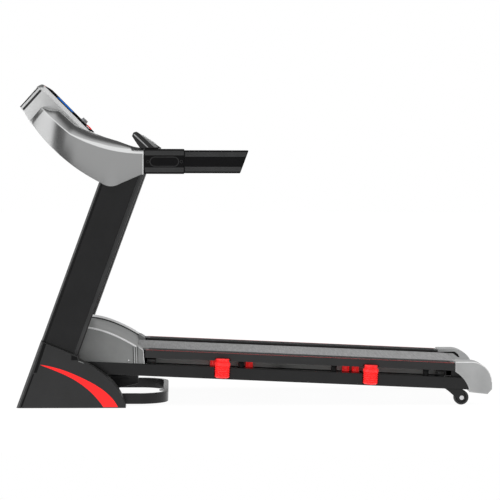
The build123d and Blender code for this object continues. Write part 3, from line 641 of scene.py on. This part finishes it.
# ---- Silver arms ----
def arc(start, through, end, steps):
    """Points of a circular arc through three points, both ends included."""
    (ax, az), (bx, bz), (cx, cz) = start, through, end
    det = 2 * (ax * (bz - cz) + bx * (cz - az) + cx * (az - bz))
    a2, b2, c2 = ax * ax + az * az, bx * bx + bz * bz, cx * cx + cz * cz
    ox = (a2 * (bz - cz) + b2 * (cz - az) + c2 * (az - bz)) / det
    oz = (a2 * (cx - bx) + b2 * (ax - cx) + c2 * (bx - ax)) / det
    radius = math.hypot(ax - ox, az - oz)
    first = math.atan2(az - oz, ax - ox)
    middle_turn = (math.atan2(bz - oz, bx - ox) - first) % math.tau
    turn = (math.atan2(cz - oz, cx - ox) - first) % math.tau
    if middle_turn > turn:
        turn -= math.tau
    angles = [first + turn * i / steps for i in range(steps + 1)]
    return [(ox + radius * math.cos(angle), oz + radius * math.sin(angle)) for angle in angles]


def spaced(points, count):
    """Points at even distances along a polyline."""
    lengths = [0.0]
    for (ax, az), (bx, bz) in zip(points, points[1:]):
        lengths.append(lengths[-1] + math.hypot(bx - ax, bz - az))
    result = []
    at = 0
    for i in range(count):
        goal = lengths[-1] * i / (count - 1)
        while at < len(points) - 2 and lengths[at + 1] < goal:
            at += 1
        share = (goal - lengths[at]) / (lengths[at + 1] - lengths[at])
        (ax, az), (bx, bz) = points[at], points[at + 1]
        result.append((ax + (bx - ax) * share, az + (bz - az) * share))
    return result


def reading(value, table, easing=lambda share: share):
    """Result for a value between the (value, result) pairs of a table."""
    if value <= table[0][0]:
        return table[0][1]
    for (a, low_end), (b, high_end) in zip(table, table[1:]):
        if value <= b:
            return low_end + (high_end - low_end) * easing((value - a) / (b - a))
    return table[-1][1]


def eased(value, table):
    """The same reading in smooth steps."""
    return reading(value, table, lambda share: share * share * (3 - 2 * share))


# arcs of the outer face's lower and upper edge, each through three (x, z) points in millimetres
ARM_LOW = [((-622, 899), (-584, 885), (-547, 895)), ((-901, 1138), (-758, 986), (-622, 899))]
ARM_TOP = [((-745, 1092), (-600, 1034), (-452, 1016)), ((-856, 1192), (-805, 1143), (-745, 1092))]
ARM_STATIONS = 56


def arm_edges():
    """Lower and upper edges of the outer face, sleeve end first."""
    lower = [(-452, 936)] + arc(*reversed(ARM_LOW[0]), 16) + arc(*reversed(ARM_LOW[1]), 24)[1:]
    upper = arc(*reversed(ARM_TOP[0]), 24) + arc(*reversed(ARM_TOP[1]), 16)[1:]
    return spaced(lower, ARM_STATIONS), spaced(upper, ARM_STATIONS)


def arm_section(share, bottom, top):
    """Loop of points of one section of the left arm, share 0 at the sleeve and 1 at the console."""
    along_x, along_z = top[0] - bottom[0], top[1] - bottom[1]
    height = math.hypot(along_x, along_z)
    up = (along_x / height, along_z / height)
    outer = 415 - eased(share, [(0.56, 0), (0.76, 4.5)]) - 52 * max(0.0, (share - 0.68) / 0.32) ** 1.9
    inner = eased(share, [(0.0, 365), (0.12, 345), (0.34, 285), (0.52, 251), (0.7, 250)])
    bevel = reading(share, [(0.0, 16), (0.12, 19), (0.4, 17), (0.66, 5), (0.8, 2.5), (1.0, 2.0)])
    rise = eased(share, [(0.0, 23), (0.34, 44), (0.86, 46), (1.0, 19)])
    depth = outer - inner
    shoulder = bevel + min(30.0, 0.2 * depth)
    shoulder_rise = bevel + 0.42 * (rise - bevel)
    profile = [
        (3.0, 0.0),
        (0.8, 0.8),
        (0.0, 3.0),
        (0.0, height - 0.6),
        (0.6, height + 0.4),
        (bevel, height + bevel * 0.86),
        (bevel + 1.5, height + bevel * 0.86 + 1.0),
        (shoulder, height + shoulder_rise),
        (shoulder + 0.45 * (depth - shoulder), height + rise * 0.86),
        (depth - 3, height + rise),
        (depth, height + rise - 3),
        (depth, 3.0),
        (depth - 3, 0.0),
    ]
    loop = []
    for inward, up_by in profile:
        x = bottom[0] + up[0] * up_by
        z = bottom[1] + up[1] * up_by
        loop.append((x, inward - outer, z))
    return loop


def arm_mesh(side):
    """An arm through its sections; the right one's run backwards, so that its faces turn outward."""
    lower, upper = arm_edges()
    loops = []
    for i, (bottom, top) in enumerate(zip(lower, upper)):
        loops.append(arm_section(i / (ARM_STATIONS - 1), bottom, top))
    loops.append(arm_end(loops[-1]))
    if side == "right":
        loops = [[(x, -y, z) for x, y, z in loop] for loop in reversed(loops)]
    return loft("arm", loops)


def arm_end(loop):
    """The last section drawn in and forward: the chamfer round the arm's front end."""
    inner = max(y for _, y, _ in loop)
    outer = min(y for _, y, _ in loop)
    centre_z = sum(z for _, _, z in loop) / len(loop)
    centre_x = sum(x for x, _, _ in loop) / len(loop)
    result = []
    for x, y, z in loop:
        share = (inner - y) / (inner - outer)
        dx, dz = centre_x - x, centre_z - z
        result.append((x - 7.5 * share + dx * 0.04, y + 12 * share, z + 6 * share + dz * 0.04))
    return result


def add_arms():
    """Both arms, each with a light rim where it meets its sleeve."""
    for side in ("left", "right"):
        node = f"arm_{side}"
        piece = finished(node + "_shell", arm_mesh(side), node, "silver_shell", angle=24.0)
        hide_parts(node)
    face = low("arm_left").y * 1000
    edge = [(-456, 932), (-452.4, 933.5), (-452.4, 1015.5), (-456, 1016)]
    paired("arm_end_rims", [plate(edge, face, 0.4, 2)], "arm_left", "pale_shell")


# ---- Console ----
# f runs down the tilted face from its top edge, n stands on the face
CONSOLE_HALF = high("console_bezel").y * 1000
BEZEL_DEEP = 18
TOP_X = low("console_bezel").x * 1000 + BEZEL_DEEP * math.sqrt(0.5)
CONSOLE_TOP = (TOP_X, high("console_bezel").z * 1000)
FACE_LENGTH = 273.0


def on_console(f, n):
    """Side-view point of a place on the console."""
    turn = math.sqrt(0.5)
    return CONSOLE_TOP[0] + (f + n) * turn, CONSOLE_TOP[1] + (n - f) * turn


def console_loop(f0, f1, half, n):
    """Rectangle parallel to the console face."""
    (x0, z0), (x1, z1) = on_console(f0, n), on_console(f1, n)
    return [(x0, -half, z0), (x1, -half, z1), (x1, half, z1), (x0, half, z0)]


def console_strip(outline, y0, y1):
    """Bar with an outline in f and n, from one side distance to another."""
    points = [on_console(f, n) for f, n in outline]
    return layered("strip", [(y0, points), (y1, points)])


def add_bezel():
    """Light frame whose sides slope in towards the face."""
    half, window = CONSOLE_HALF, 236.4
    loops = [
        console_loop(0, FACE_LENGTH, half, -18),
        console_loop(0, FACE_LENGTH, half, -16),
        console_loop(6, FACE_LENGTH - 5, half - 12, 0),
        console_loop(10, 263, window, 0),
        console_loop(10, 263, window, -18),
    ]
    bezel = finished("bezel_frame", loft("bezel_frame", loops, ring=True), "console_bezel", width=0.0008)
    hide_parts("console_bezel")
    tick = console_strip([(5, -0.4), (5, 0.5), (9.5, 0.7), (9.5, -0.4)], -half + 13, -half + 60)
    paired("bezel_red_ticks", [tick], "console_bezel", "red_rubber")
    tip = [(-12, -24.5), (-9, -12), (-5, -3), (0, 0.4), (4.6, 0.8), (6.2, -0.5), (1, -17), (-7, -25)]
    end = console_strip(tip, -half + 1, half - 1)
    finished("bezel_end_strip", end, "console_bezel", "grey_shell", width=0.0006)


CONSOLE_SIDE = [
    (0, -18),
    (-12, -24),
    (-3, -131.5),
    (18, -134.5),
    (70, -146),
    (150, -150),
    (240, -128),
    (284, -60),
    (FACE_LENGTH, -18),
]


def shade_band(f, width):
    """Outline of a painted shade band across the side of the rear shell, leaning with its end."""
    foot, low_n, high_n = f + 5.0, -129, -22
    return [(foot, low_n), (foot + width, low_n), (f + width, high_n), (f, high_n)]


def add_console_back():
    """Deep rear shell with drawn-in side edges and two dark bands on each side that paint the shade in a
    joint's groove and on an edge that rounds away.
    """
    outline = [on_console(f, n) for f, n in CONSOLE_SIDE]
    narrow = inset(outline, [0, 3, 3, 3, 3, 3, 3, 3, 0])
    half = CONSOLE_HALF
    layers = [(-half, narrow), (-half + 3, outline), (half - 3, outline), (half, narrow)]
    back = finished("console_pod", layered("console_pod", layers), "console_back", width=0.001)
    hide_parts("console_back")
    for side, sense in (("left", -1), ("right", 1)):
        face = sense * half
        # dark bands paint the shade of a groove and of a rounded edge
        for place, f, width in (("outer", -8.5, 4.5), ("inner", 4.5, 9.0)):
            mesh = console_strip(shade_band(f, width), face - sense * 3, face + sense * 0.5)
            finished(f"console_painted_shade_{side}_{place}", mesh, "console_back", "motor_paint", width=0.0004)


def add_knob():
    """Stepped dial with a dark base ring and gripping flutes."""
    foot_x, foot_z = on_console(210, 2.3)
    foot = Matrix.Translation((foot_x / 1000, middle("speed_knob").y, foot_z / 1000))
    base = foot @ Matrix.Rotation(math.radians(45), 4, "Y")
    profile = [(16.5, 2.2), (16.5, 5.0), (13.6, 6.2), (13.2, 14.6), (12.2, 15.7), (8.5, 15.7), (7.5, 14.9)]
    steps = 72
    loops = []
    for radius, z in profile:
        ring = []
        for i in range(steps):
            angle = math.tau * i / steps
            reach = radius - 0.45 if i % 3 == 0 and 6 < z < 15 else radius
            ring.append((reach * math.cos(angle), reach * math.sin(angle), z))
        loops.append(ring)
    dial = finished("speed_dial", moved(loft("speed_dial", loops), base), "speed_knob")
    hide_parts("speed_knob")
    ring = moved(lathe("dial_ring", [(16.9, 0.2), (16.9, 1.6), (15.8, 2.2), (6.0, 2.2)]), base)
    finished("dial_ring", ring, "speed_knob", "black_shell")


def add_console():
    add_bezel()
    add_console_back()
    add_knob()


# ---- Motor hood ----
HOOD_HALF = high("motor_hood").y * 1000
HOOD_TOP = [(-768, 305)] + curve_points((-715, 320), (-618, 324), (-482, 241), 14)
HOOD_FOOT = -57  # height of the ribs' lower ends on the deck
DECK_SLOPE = math.radians(2.5)
DECK_MATRIX = Matrix.Translation((0, 0, 0.2062)) @ Matrix.Rotation(DECK_SLOPE, 4, "Y")


def on_deck(u, w):
    """Side-view point of a place on the sloping deck."""
    cos, sin = math.cos(DECK_SLOPE), math.sin(DECK_SLOPE)
    return u * cos + w * sin, 206.2 - u * sin + w * cos


def hood_layer(y, top_drop):
    """Side outline of the hood with its upper edge lowered."""
    top = [(x, z - top_drop) for x, z in HOOD_TOP]
    return (y, [on_deck(-790, -57.7), (-800, 262 - top_drop)] + top + [on_deck(-481, -57.7)])


def hood_line(section):
    """Thin bar along the hood's upper edge; its section is (y, drop below the edge) points."""
    return loft("line", [[(x, y, z - drop) for y, drop in section] for x, z in HOOD_TOP])


def add_hood():
    """Side ridges stand proud of a slightly sunken top, with pale strips that paint the ridges' highlights
    and a dark strip that paints the shadow in the crease beside each.
    """
    half = HOOD_HALF
    near = [hood_layer(-half, 6), hood_layer(-half + 5, 0), hood_layer(-half + 12, 14)]
    far = [(-y, outline) for y, outline in reversed(near)]
    hood = finished("hood_shell", layered("hood_shell", near + far), "motor_hood", angle=22.0, width=0.0006)
    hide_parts("motor_hood")
    # pale strips paint the highlight on the ridges' rounded tops
    highlight_strips = []
    for y0, drop0, y1, drop1 in ((-half - 0.4, 6.6, -half + 5, -0.4), (-half + 5.6, 0.8, -half + 9.4, 8.6)):
        under = [(y1 + 0.4, drop1 + 1.2), (y0 + 0.8, drop0 + 0.6)]
        highlight_strips.append(hood_line([(y0, drop0), (y1, drop1)] + under))
    # a dark strip paints the shadow in the crease inside each ridge
    y0, y1 = -half + 9.6, -half + 12.6
    crease_shadow = hood_line([(y0, 9.2), (y1, 13.6), (y1 - 1, 14.6), (y0 - 1, 10.2)])
    paired("hood_painted_shadows", [crease_shadow], "motor_hood", "black_grip")
    paired("hood_painted_highlights", highlight_strips, "motor_hood", "pale_shell", angle=50.0)


def add_corner_blocks():
    """Blocks between the hood and the foot rails, with a light outer edge."""
    outline = [(-481.5, 240.0), (-475, 237.6), (-454, 223.5), (-449.5, 168.0), on_deck(-480, -57.7)]
    narrow = inset(outline, [2.5, 3.0, 3.0, 0.5, 0.5])
    face = -HOOD_HALF
    block = layered("block", [(face, narrow), (face + 3, outline), (-241, outline), (-240, narrow)])
    corners = paired("hood_corner_blocks", [block], "hood_corners", width=0.0006)
    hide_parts("hood_corners")
    edge = [(-473, 238.2), (-453, 224.4), (-448.9, 168.5)]
    edge += [(-451.6, 168.5), (-455.8, 222.2), (-474.5, 235.4)]
    paired("corner_edges", [plate(edge, face, 0.4, 3, drawn=0.4)], "hood_corners", "pale_shell")


def add_hood_ribs():
    """Upright ribs with dark grooves at the hood's rear end, and a screw on each side."""
    face = -HOOD_HALF
    ribs, grooves = [], []
    for x0, x1 in ((-492, -487.5), (-484, -479.5)):
        low_z = on_deck(x0, HOOD_FOOT)[1]
        rib = [(x0 + 1.5, low_z), (x1 + 1.5, low_z), (x1, 233), (x0, 236)]
        ribs.append(layered("rib", [(face - 1.6, inset(rib, 1.0)), (face - 0.8, rib), (face + 3, rib)]))
    for x0 in (-496.5, -486.5, -478.5):
        low_z = on_deck(x0, HOOD_FOOT)[1]
        groove = [(x0 + 1.5, low_z), (x0 + 4, low_z), (x0 + 2.5, 235), (x0, 237)]
        grooves.append(plate(groove, face, 0.4, 3))
    paired("hood_ribs", ribs, "motor_hood", "cap_shell")
    paired("hood_grooves", grooves, "motor_hood", "black_shell")
    head = [(3.6, 0.0), (3.6, 0.7), (2.6, 1.6), (1.2, 1.7), (1.1, 0.9)]
    place = Matrix.Translation((-0.513, face / 1000, 0.182)) @ Matrix.Rotation(math.radians(90), 4, "X")
    paired("hood_screws", [moved(lathe("screw", head, 24), place)], "motor_hood", "bright_steel")


# ---- Deck: dampers, cushions, rail lines, brackets and end caps ----
DAMPER_U = (-132.5, 468.0)
DAMPER_Y = 345.0
CUSHION_U = (-167.0, -22.0, 372.0, 412.0)
CUSHION_Y = 270.0
RAIL_U = (-444, 806)
TREAD_WIDE, TREAD_PITCH = 7, 12
SLEEVE_U = (-57, 320, 694)
SLEEVE_Y = 323.0


def deck_strip(outline, y0, y1):
    """Bar with an outline in u and w, from one side distance to another."""
    points = [on_deck(u, w) for u, w in outline]
    return layered("strip", [(y0, points), (y1, points)])


def turned_on_deck(profile, places, y, steps):
    """Turned parts standing on the deck's slope, at distances u along it."""
    shapes = []
    for u in places:
        spot = Matrix.Translation((u / 1000, -y / 1000, 0))
        shapes.append(moved(lathe("turned", profile, steps), DECK_MATRIX @ spot))
    return shapes


def rounded_rib(radius, core, low_z, pitch):
    """Half round of one rubber rib, as (radius, height) points."""
    points = [(core, low_z)]
    for i in range(5):
        angle = math.pi * i / 4
        height = low_z + pitch * (0.5 - 0.42 * math.cos(angle))
        points.append((core + (radius - core) * math.sin(angle), height))
    return points


def add_dampers():
    """Ribbed rubber columns: seven ribs, a wider collar and a plain head."""
    profile = [(25.0, -99.0), (26.5, -97.5)]
    for i in range(6):
        profile += rounded_rib(30.5, 25.0, -97.0 + 7.6 * i, 7.6)
    profile += [(28.5, -51.2), (31.0, -49.8), (31.5, -45.0), (31.0, -38.2), (29.0, -37.0)]
    profile += rounded_rib(27.0, 24.0, -36.6, 6.4)
    profile += [(26.0, -29.5), (26.6, -28.0), (26.6, -23.6), (25.2, -22.4)]
    columns = turned_on_deck(profile, DAMPER_U, DAMPER_Y, 48)
    dampers = paired("damper_columns", columns, "side_dampers", angle=50.0)
    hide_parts("side_dampers")
    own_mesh(dampers)


def add_cushions():
    """Round rubber cushions with a waist, between beam and board."""
    profile = [(13.0, -57.9), (14.8, -56.6), (14.9, -50.0), (13.6, -45.5), (13.6, -42.5), (14.9, -38.0)]
    profile += [(14.8, -31.4), (13.0, -30.1)]
    pads = turned_on_deck(profile, CUSHION_U, CUSHION_Y, 40)
    cushions = paired("rubber_cushions", pads, "board_cushions", angle=50.0)
    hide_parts("board_cushions")
    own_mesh(cushions)


def add_rail_lines():
    """Thin red line, raised treads and a nose that closes the gap to the hood, on each foot rail."""
    start, end = RAIL_U
    line = deck_strip([(start, -0.5), (start, 0.08), (end, 0.08), (end, -0.5)], -338.0, -334.5)
    ridge = [(start + 10, -0.5), (start + 11, 0.8), (end - 11, 0.8), (end - 10, -0.5)]
    treads = [deck_strip(ridge, y, y + TREAD_WIDE) for y in range(-326, -252, TREAD_PITCH)]
    nose = deck_strip([(-458, -14), (-458, -0.6), (-445, -0.6), (-445, -14)], -333, -241)
    paired("rail_lines", [line], "side_rail_left", "red_trim")
    paired("rail_treads", treads, "side_rail_left", "black_grip", width=0.0003)
    paired("rail_noses", [nose], "side_rail_left", "black_grip")


def add_gap_brackets():
    """Stringer faces, rectangular tube ends and sleeves seen in the gap between rail and beam."""
    ends = []
    for u0, u1 in ((-438, -402), (742, 779)):
        outer = [on_deck(u, w) for u, w in ((u0, -56), (u1, -56), (u1, -39), (u0, -39))]
        inner = inset(outer, 3.0)
        ends.append(hollow_bar(outer, inner, -306, -262))
    sleeve = [(11.0, -57.5), (12.0, -56.5), (12.0, -34.0), (11.0, -33.0)]
    sleeves = turned_on_deck(sleeve, SLEEVE_U, SLEEVE_Y, 28)
    panel = deck_strip([(-436, -58), (-436, -38), (777, -38), (777, -58)], -251.0, -250.2)
    paired("stringer_faces", [panel], "deck_beam_left", "grey_shell")
    paired("beam_tube_ends", ends, "deck_beam_left", "black_steel", width=0.0006)
    paired("beam_sleeves", sleeves, "deck_beam_left", "black_grip", angle=50.0)


def add_mount_covers():
    """Folded steel brackets on the bar that carries the strut's lower ears."""
    outline = [(-596, 42), (-596, 89), (-589, 94), (-487, 94), (-480, 88), (-480, 60), (-560, 42)]
    narrow = inset(outline, 1.5)
    cover = layered("cover", [(-66, narrow), (-64.5, outline), (-29.5, outline), (-28, narrow)])
    slot = [(-574, 76), (-574, 80), (-548, 80), (-548, 76)]
    line = [(-540, 81), (-540, 85), (-518, 85), (-518, 81)]
    marks = [plate(mark, -66, 0.4, 3) for mark in (slot, line)]
    paired("strut_mount_covers", [cover], "floor_loop", "black_steel", width=0.0006)
    finished("strut_mount_slots", joined("slots", marks), "floor_loop", "black_grip")


def rear_cap_outline():
    """Side outline of an end cap, clockwise from its upper front corner."""
    front = low("rear_cap_left").x * 1000
    back = high("rear_cap_left").x * 1000
    upper = arc((880, 176), (932, 153), (back, 93), 12)
    lower = arc((869, 52), (846, 103), (front, 135), 10)
    return [(front, 176)] + upper + [(back, 64), (941, 44)] + lower


def add_rear_caps():
    """End caps with a light rim, and a dark sheet that paints the shadow in the roller gap on the side that
    faces the belt.
    """
    outline = rear_cap_outline()
    out, inner = high("rear_cap_right").y * 1000, low("rear_cap_right").y * 1000
    layers = [
        (-out, inset(outline, 3.6)),
        (-out + 3.0, outline),
        (-inner - 1.5, outline),
        (-inner, inset(outline, 1.5)),
    ]
    left = layered("cap", layers)
    for node, mesh in (("rear_cap_left", left), ("rear_cap_right", mirrored(left))):
        cap = finished(node + "_shell", mesh, node, angle=26.0, width=0.0006)
        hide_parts(node)
    rim_points = 14  # the front corner and the upper arc
    edge = list(zip(inset(outline, 0.1), inset(outline, 3.4)))[:rim_points]
    loops = []
    for (ax, az), (bx, bz) in edge:
        proud = [(ax, -out + 2.5, az), (bx, -out - 0.3, bz)]
        loops.append(proud + [(bx, -out + 0.6, bz), (ax, -out + 3.2, az)])
    paired("rear_cap_rims", [loft("rim", loops)], "rear_cap_left", "pale_shell", angle=50.0)
    # a dark sheet paints the shadow in the gap between belt end and cap
    gap_shadow = [(808, 159.5), (808, 163), (836, 163.5), (881, 164.5), (895, 155), (904, 141)]
    gap_shadow += [(897, 140), (875, 157), (836, 159)]
    paired("rear_cap_painted_shadows", [plate(gap_shadow, -inner, 2.0, 0.5)], "rear_cap_left", "black_grip")


def add_deck_details():
    add_dampers()
    add_cushions()
    add_rail_lines()
    add_gap_brackets()
    add_mount_covers()
    add_rear_caps()


# ---- Handrails, pulse bar, upright edges and painted shade lines of the covers ----
GRIP_LEAN = 33 / 94
LEAN_Z = 985  # height at which a leaning end keeps its x


def leaning(x, lean, z):
    """x of an end that leans back with height."""
    return x + lean * (z - LEAN_Z)


def rail_section(y_out, y_in, low_z, high_z):
    """Eight-sided section of a handrail, as (y, z) points."""
    rim, slope = 7.0, 26.0
    edge, corner = y_out + 8.5, y_out + 7
    return [
        (y_in, high_z),
        (edge, high_z),
        (corner, high_z - rim),
        (y_out, high_z - slope),
        (y_out, low_z + slope),
        (corner, low_z + rim),
        (edge, low_z),
        (y_in, low_z),
    ]


def rail_band(section, x0, x1, first, lean):
    """Thin strip lying on the slope that starts at one point of the section."""
    (ay, az), (by, bz) = section[first], section[first + 1]
    loops = []
    for x, tilt in ((x0, 0.0), (x1, lean)):
        points = [(ay - 0.5, az), (by - 0.5, bz), (by + 1.0, bz), (ay + 1.0, az)]
        loops.append([(leaning(x, tilt, z), y, z) for y, z in points])
    return loft("band", loops)


def add_handrails():
    """Sleeves and grips with their rear ends drawn in; a grip's rear end leans as well."""
    for part, lean in (("sleeve", 0.0), ("grip", GRIP_LEAN)):
        node = f"handrail_{part}_left"
        (x0, y_out, low_z), (x1, y_in, high_z) = low(node) * 1000, high(node) * 1000
        section = rail_section(y_out, y_in, low_z, high_z)
        end_x = x1 - lean * (high_z - LEAN_Z)
        start = [(x0, y, z) for y, z in section]
        end = [(leaning(end_x, lean, z), y, z) for y, z in section]
        centre_y, centre_z = (y_out + y_in) / 2, (low_z + high_z) / 2
        drawn = [(x, y + (centre_y - y) * 0.08, z + (centre_z - z) * 0.05) for x, y, z in end]
        left = loft(part, [start, [(x - 3.0, y, z) for x, y, z in end], drawn])
        for side, mesh in (("left", left), ("right", mirrored(left))):
            name = f"handrail_{part}_{side}"
            piece = finished(name + "_shell", mesh, name, "black_grip", angle=15.0, width=0.0016)
            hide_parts(name)
        bands = [rail_band(section, x0 + 2, end_x - 3, first, lean) for first in (2, 4)]
        paired(f"handrail_{part}_bands", bands, node, "motor_paint")


def oval(centre_x, centre_z, length, height, steps=12):
    """Stadium outline, as (x, z) points."""
    radius = height / 2
    reach = length / 2 - radius
    points = []
    for centre, first in ((centre_x + reach, 0), (centre_x - reach, steps - 1)):
        for i in range(first, first + steps):
            angle = math.pi * i / (steps - 1) - math.pi / 2
            points.append((centre + radius * math.cos(angle), centre_z + radius * math.sin(angle)))
    return points


def add_sleeve_rings():
    """Raised oval ring and two small rings on the outer face of each sleeve."""
    face = low("handrail_sleeve_left").y * 1000
    centre = middle("handrail_sleeve_left") * 1000
    rings = []
    for along, length, height, width in ((0, 118, 41, 4.2), (-65, 13, 12, 2.2), (68, 13, 12, 2.2)):
        place = (centre.x + along, centre.z - 1)
        outer = oval(*place, length, height)
        inner = oval(*place, length - 2 * width, height - 2 * width)
        shapes = [(face + 1, outer), (face - 1.2, outer), (face - 1.2, inner), (face + 1, inner)]
        rings.append(loft("ring", [[(x, y, z) for x, z in shape] for y, shape in shapes], ring=True))
    paired("sleeve_rings", rings, "handrail_sleeve_left", "black_shell", width=0.0004)


def add_pulse_bar():
    """Cross bar with softened ends, a light rib on each end and grey ends of its curved face."""
    end = low("pulse_bar").y * 1000
    front = [(-464, 1035), (-395, 1035), (-385.5, 1042)]
    outline = front + [(-480, 1104), (-493, 1100), (-498.5, 1086), (-480, 1057)]
    slim = inset(outline, 2.5)
    bar = layered("bar", [(end, slim), (end + 3, outline), (-end - 3, outline), (-end, slim)])
    bar = finished("pulse_bar_shell", bar, "pulse_bar", width=0.002)
    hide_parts("pulse_bar")
    rib = [(-492.5, 1091), (-488.5, 1095), (-431, 1040.5), (-438, 1040.5)]
    paired("pulse_end_ribs", [plate(rib, end, 0.8, 3, drawn=0.5)], "pulse_bar", "cap_shell")
    face = [(-473, 1098.5), (-439, 1077), (-410, 1057), (-391, 1040.5), (-409, 1040.5), (-442, 1071)]
    paired("pulse_face_ends", [plate(face, end, 0.9, 3, drawn=0.5)], "pulse_bar", "grey_shell")


UPRIGHT_LEAN = math.radians(20)
UPRIGHT_FOOT_X = -874.3
CORNER_AT = (58.0, -379.0)  # centre of a corner's arc, from the upright's axis and the middle plane
CORNER_RADIUS = 21.35


def upright_strip(sense, first, last):
    """Thin shell over part of an upright's rounded corner: sense -1 for the front one, 1 for the back."""
    thick = 1.5
    outer = []
    for i in range(7):
        angle = math.radians(first + (last - first) * i / 6)
        x = sense * (CORNER_AT[0] + CORNER_RADIUS * math.cos(angle))
        outer.append((x, CORNER_AT[1] - CORNER_RADIUS * math.sin(angle)))
    back = sense * thick * math.cos(math.radians(first))
    section = outer + [(x - back, y + thick) for x, y in reversed(outer)]
    loops = []
    for height in (212, 955):
        axis_x = UPRIGHT_FOOT_X + height * math.tan(UPRIGHT_LEAN)
        loops.append([(axis_x + x / math.cos(UPRIGHT_LEAN), y, height) for x, y in section])
    return loft("strip", loops)


def add_upright_edges():
    """Light bands that paint a highlight and dark lines that paint shade down both outer corners of each
    upright.
    """
    # light bands paint a highlight and dark bands paint shade where the rounded corners turn
    bands = [("front_painted_highlight", "motor_paint", -1, 12, 52), ("front_shadow", "black_grip", -1, 53, 74)]
    bands += [("back_painted_highlight", "motor_paint", 1, 34, 80), ("back_shadow", "black_grip", 1, 2, 33)]
    for name, slot, sense, first, last in bands:
        paired(f"upright_{name}", [upright_strip(sense, first, last)], "upright_left", slot, angle=60.0)


def add_cover_shade_lines():
    """Dark strips that paint the shade on the base covers' rounded front edges, and the block behind each
    collar.
    """
    face = low("base_cover_left").y * 1000
    collar = [(-850, 261), (-839, 257), (-877, 142), (-889, 142)]
    below = [(-893, 137), (-887, 137), (-936, 4), (-943, 4)]
    # dark strips paint the shade of the covers' rounded front edges
    shade_lines = [plate(outline, face, 0.35, 4) for outline in (collar, below)]
    paired("cover_painted_shade", shade_lines, "base_cover_left", "black_grip")
    edge = [(-711, 190), (-690, 181.5), (-690, 179.0), (-711, 186.5)]
    block = [(-740, 214), (-715, 204), (-713, 191), (-741, 191)]
    paired("cover_lips", [plate(edge, face, 0.4, 4)], "base_cover_left", "grey_shell")
    paired("cover_blocks", [plate(block, face, 0.4, 4, drawn=1.0)], "base_cover_left", "black_grip")


def add_handrail_details():
    add_handrails()
    add_sleeve_rings()
    add_pulse_bar()
    add_upright_edges()
    add_cover_shade_lines()


# ---- Pieces that keep their CAD shape, with softened edges ----
ROUNDED = {
    "base_cover_left": 0.002,
    "base_cover_right": 0.002,
    "console_panel": 0.0015,
    "side_rail_left": 0.002,
    "side_rail_right": 0.002,
    "deck_beam_left": 0.0025,
    "deck_beam_right": 0.0025,
    "floor_loop": 0.0015,
    "base_frame": 0.002,
    "start_key": 0.0012,
    "stop_key": 0.0012,
    "mode_key": 0.0012,
    "program_key": 0.0012,
    "safety_key": 0.0012,
    "rear_wheel_left": 0.003,
    "rear_wheel_right": 0.003,
    "wheel_brackets": 0.001,
    "console_bracket": 0.002,
}


def add_rounded():
    for node, width in ROUNDED.items():
        rounded(node, width)


def main():
    dress_cad_nodes()
    add_rounded()
    add_arms()
    add_console()
    add_hood()
    add_corner_blocks()
    add_hood_ribs()
    add_deck_details()
    add_handrail_details()
    add_studio()
    bpy.context.view_layer.update()


main()
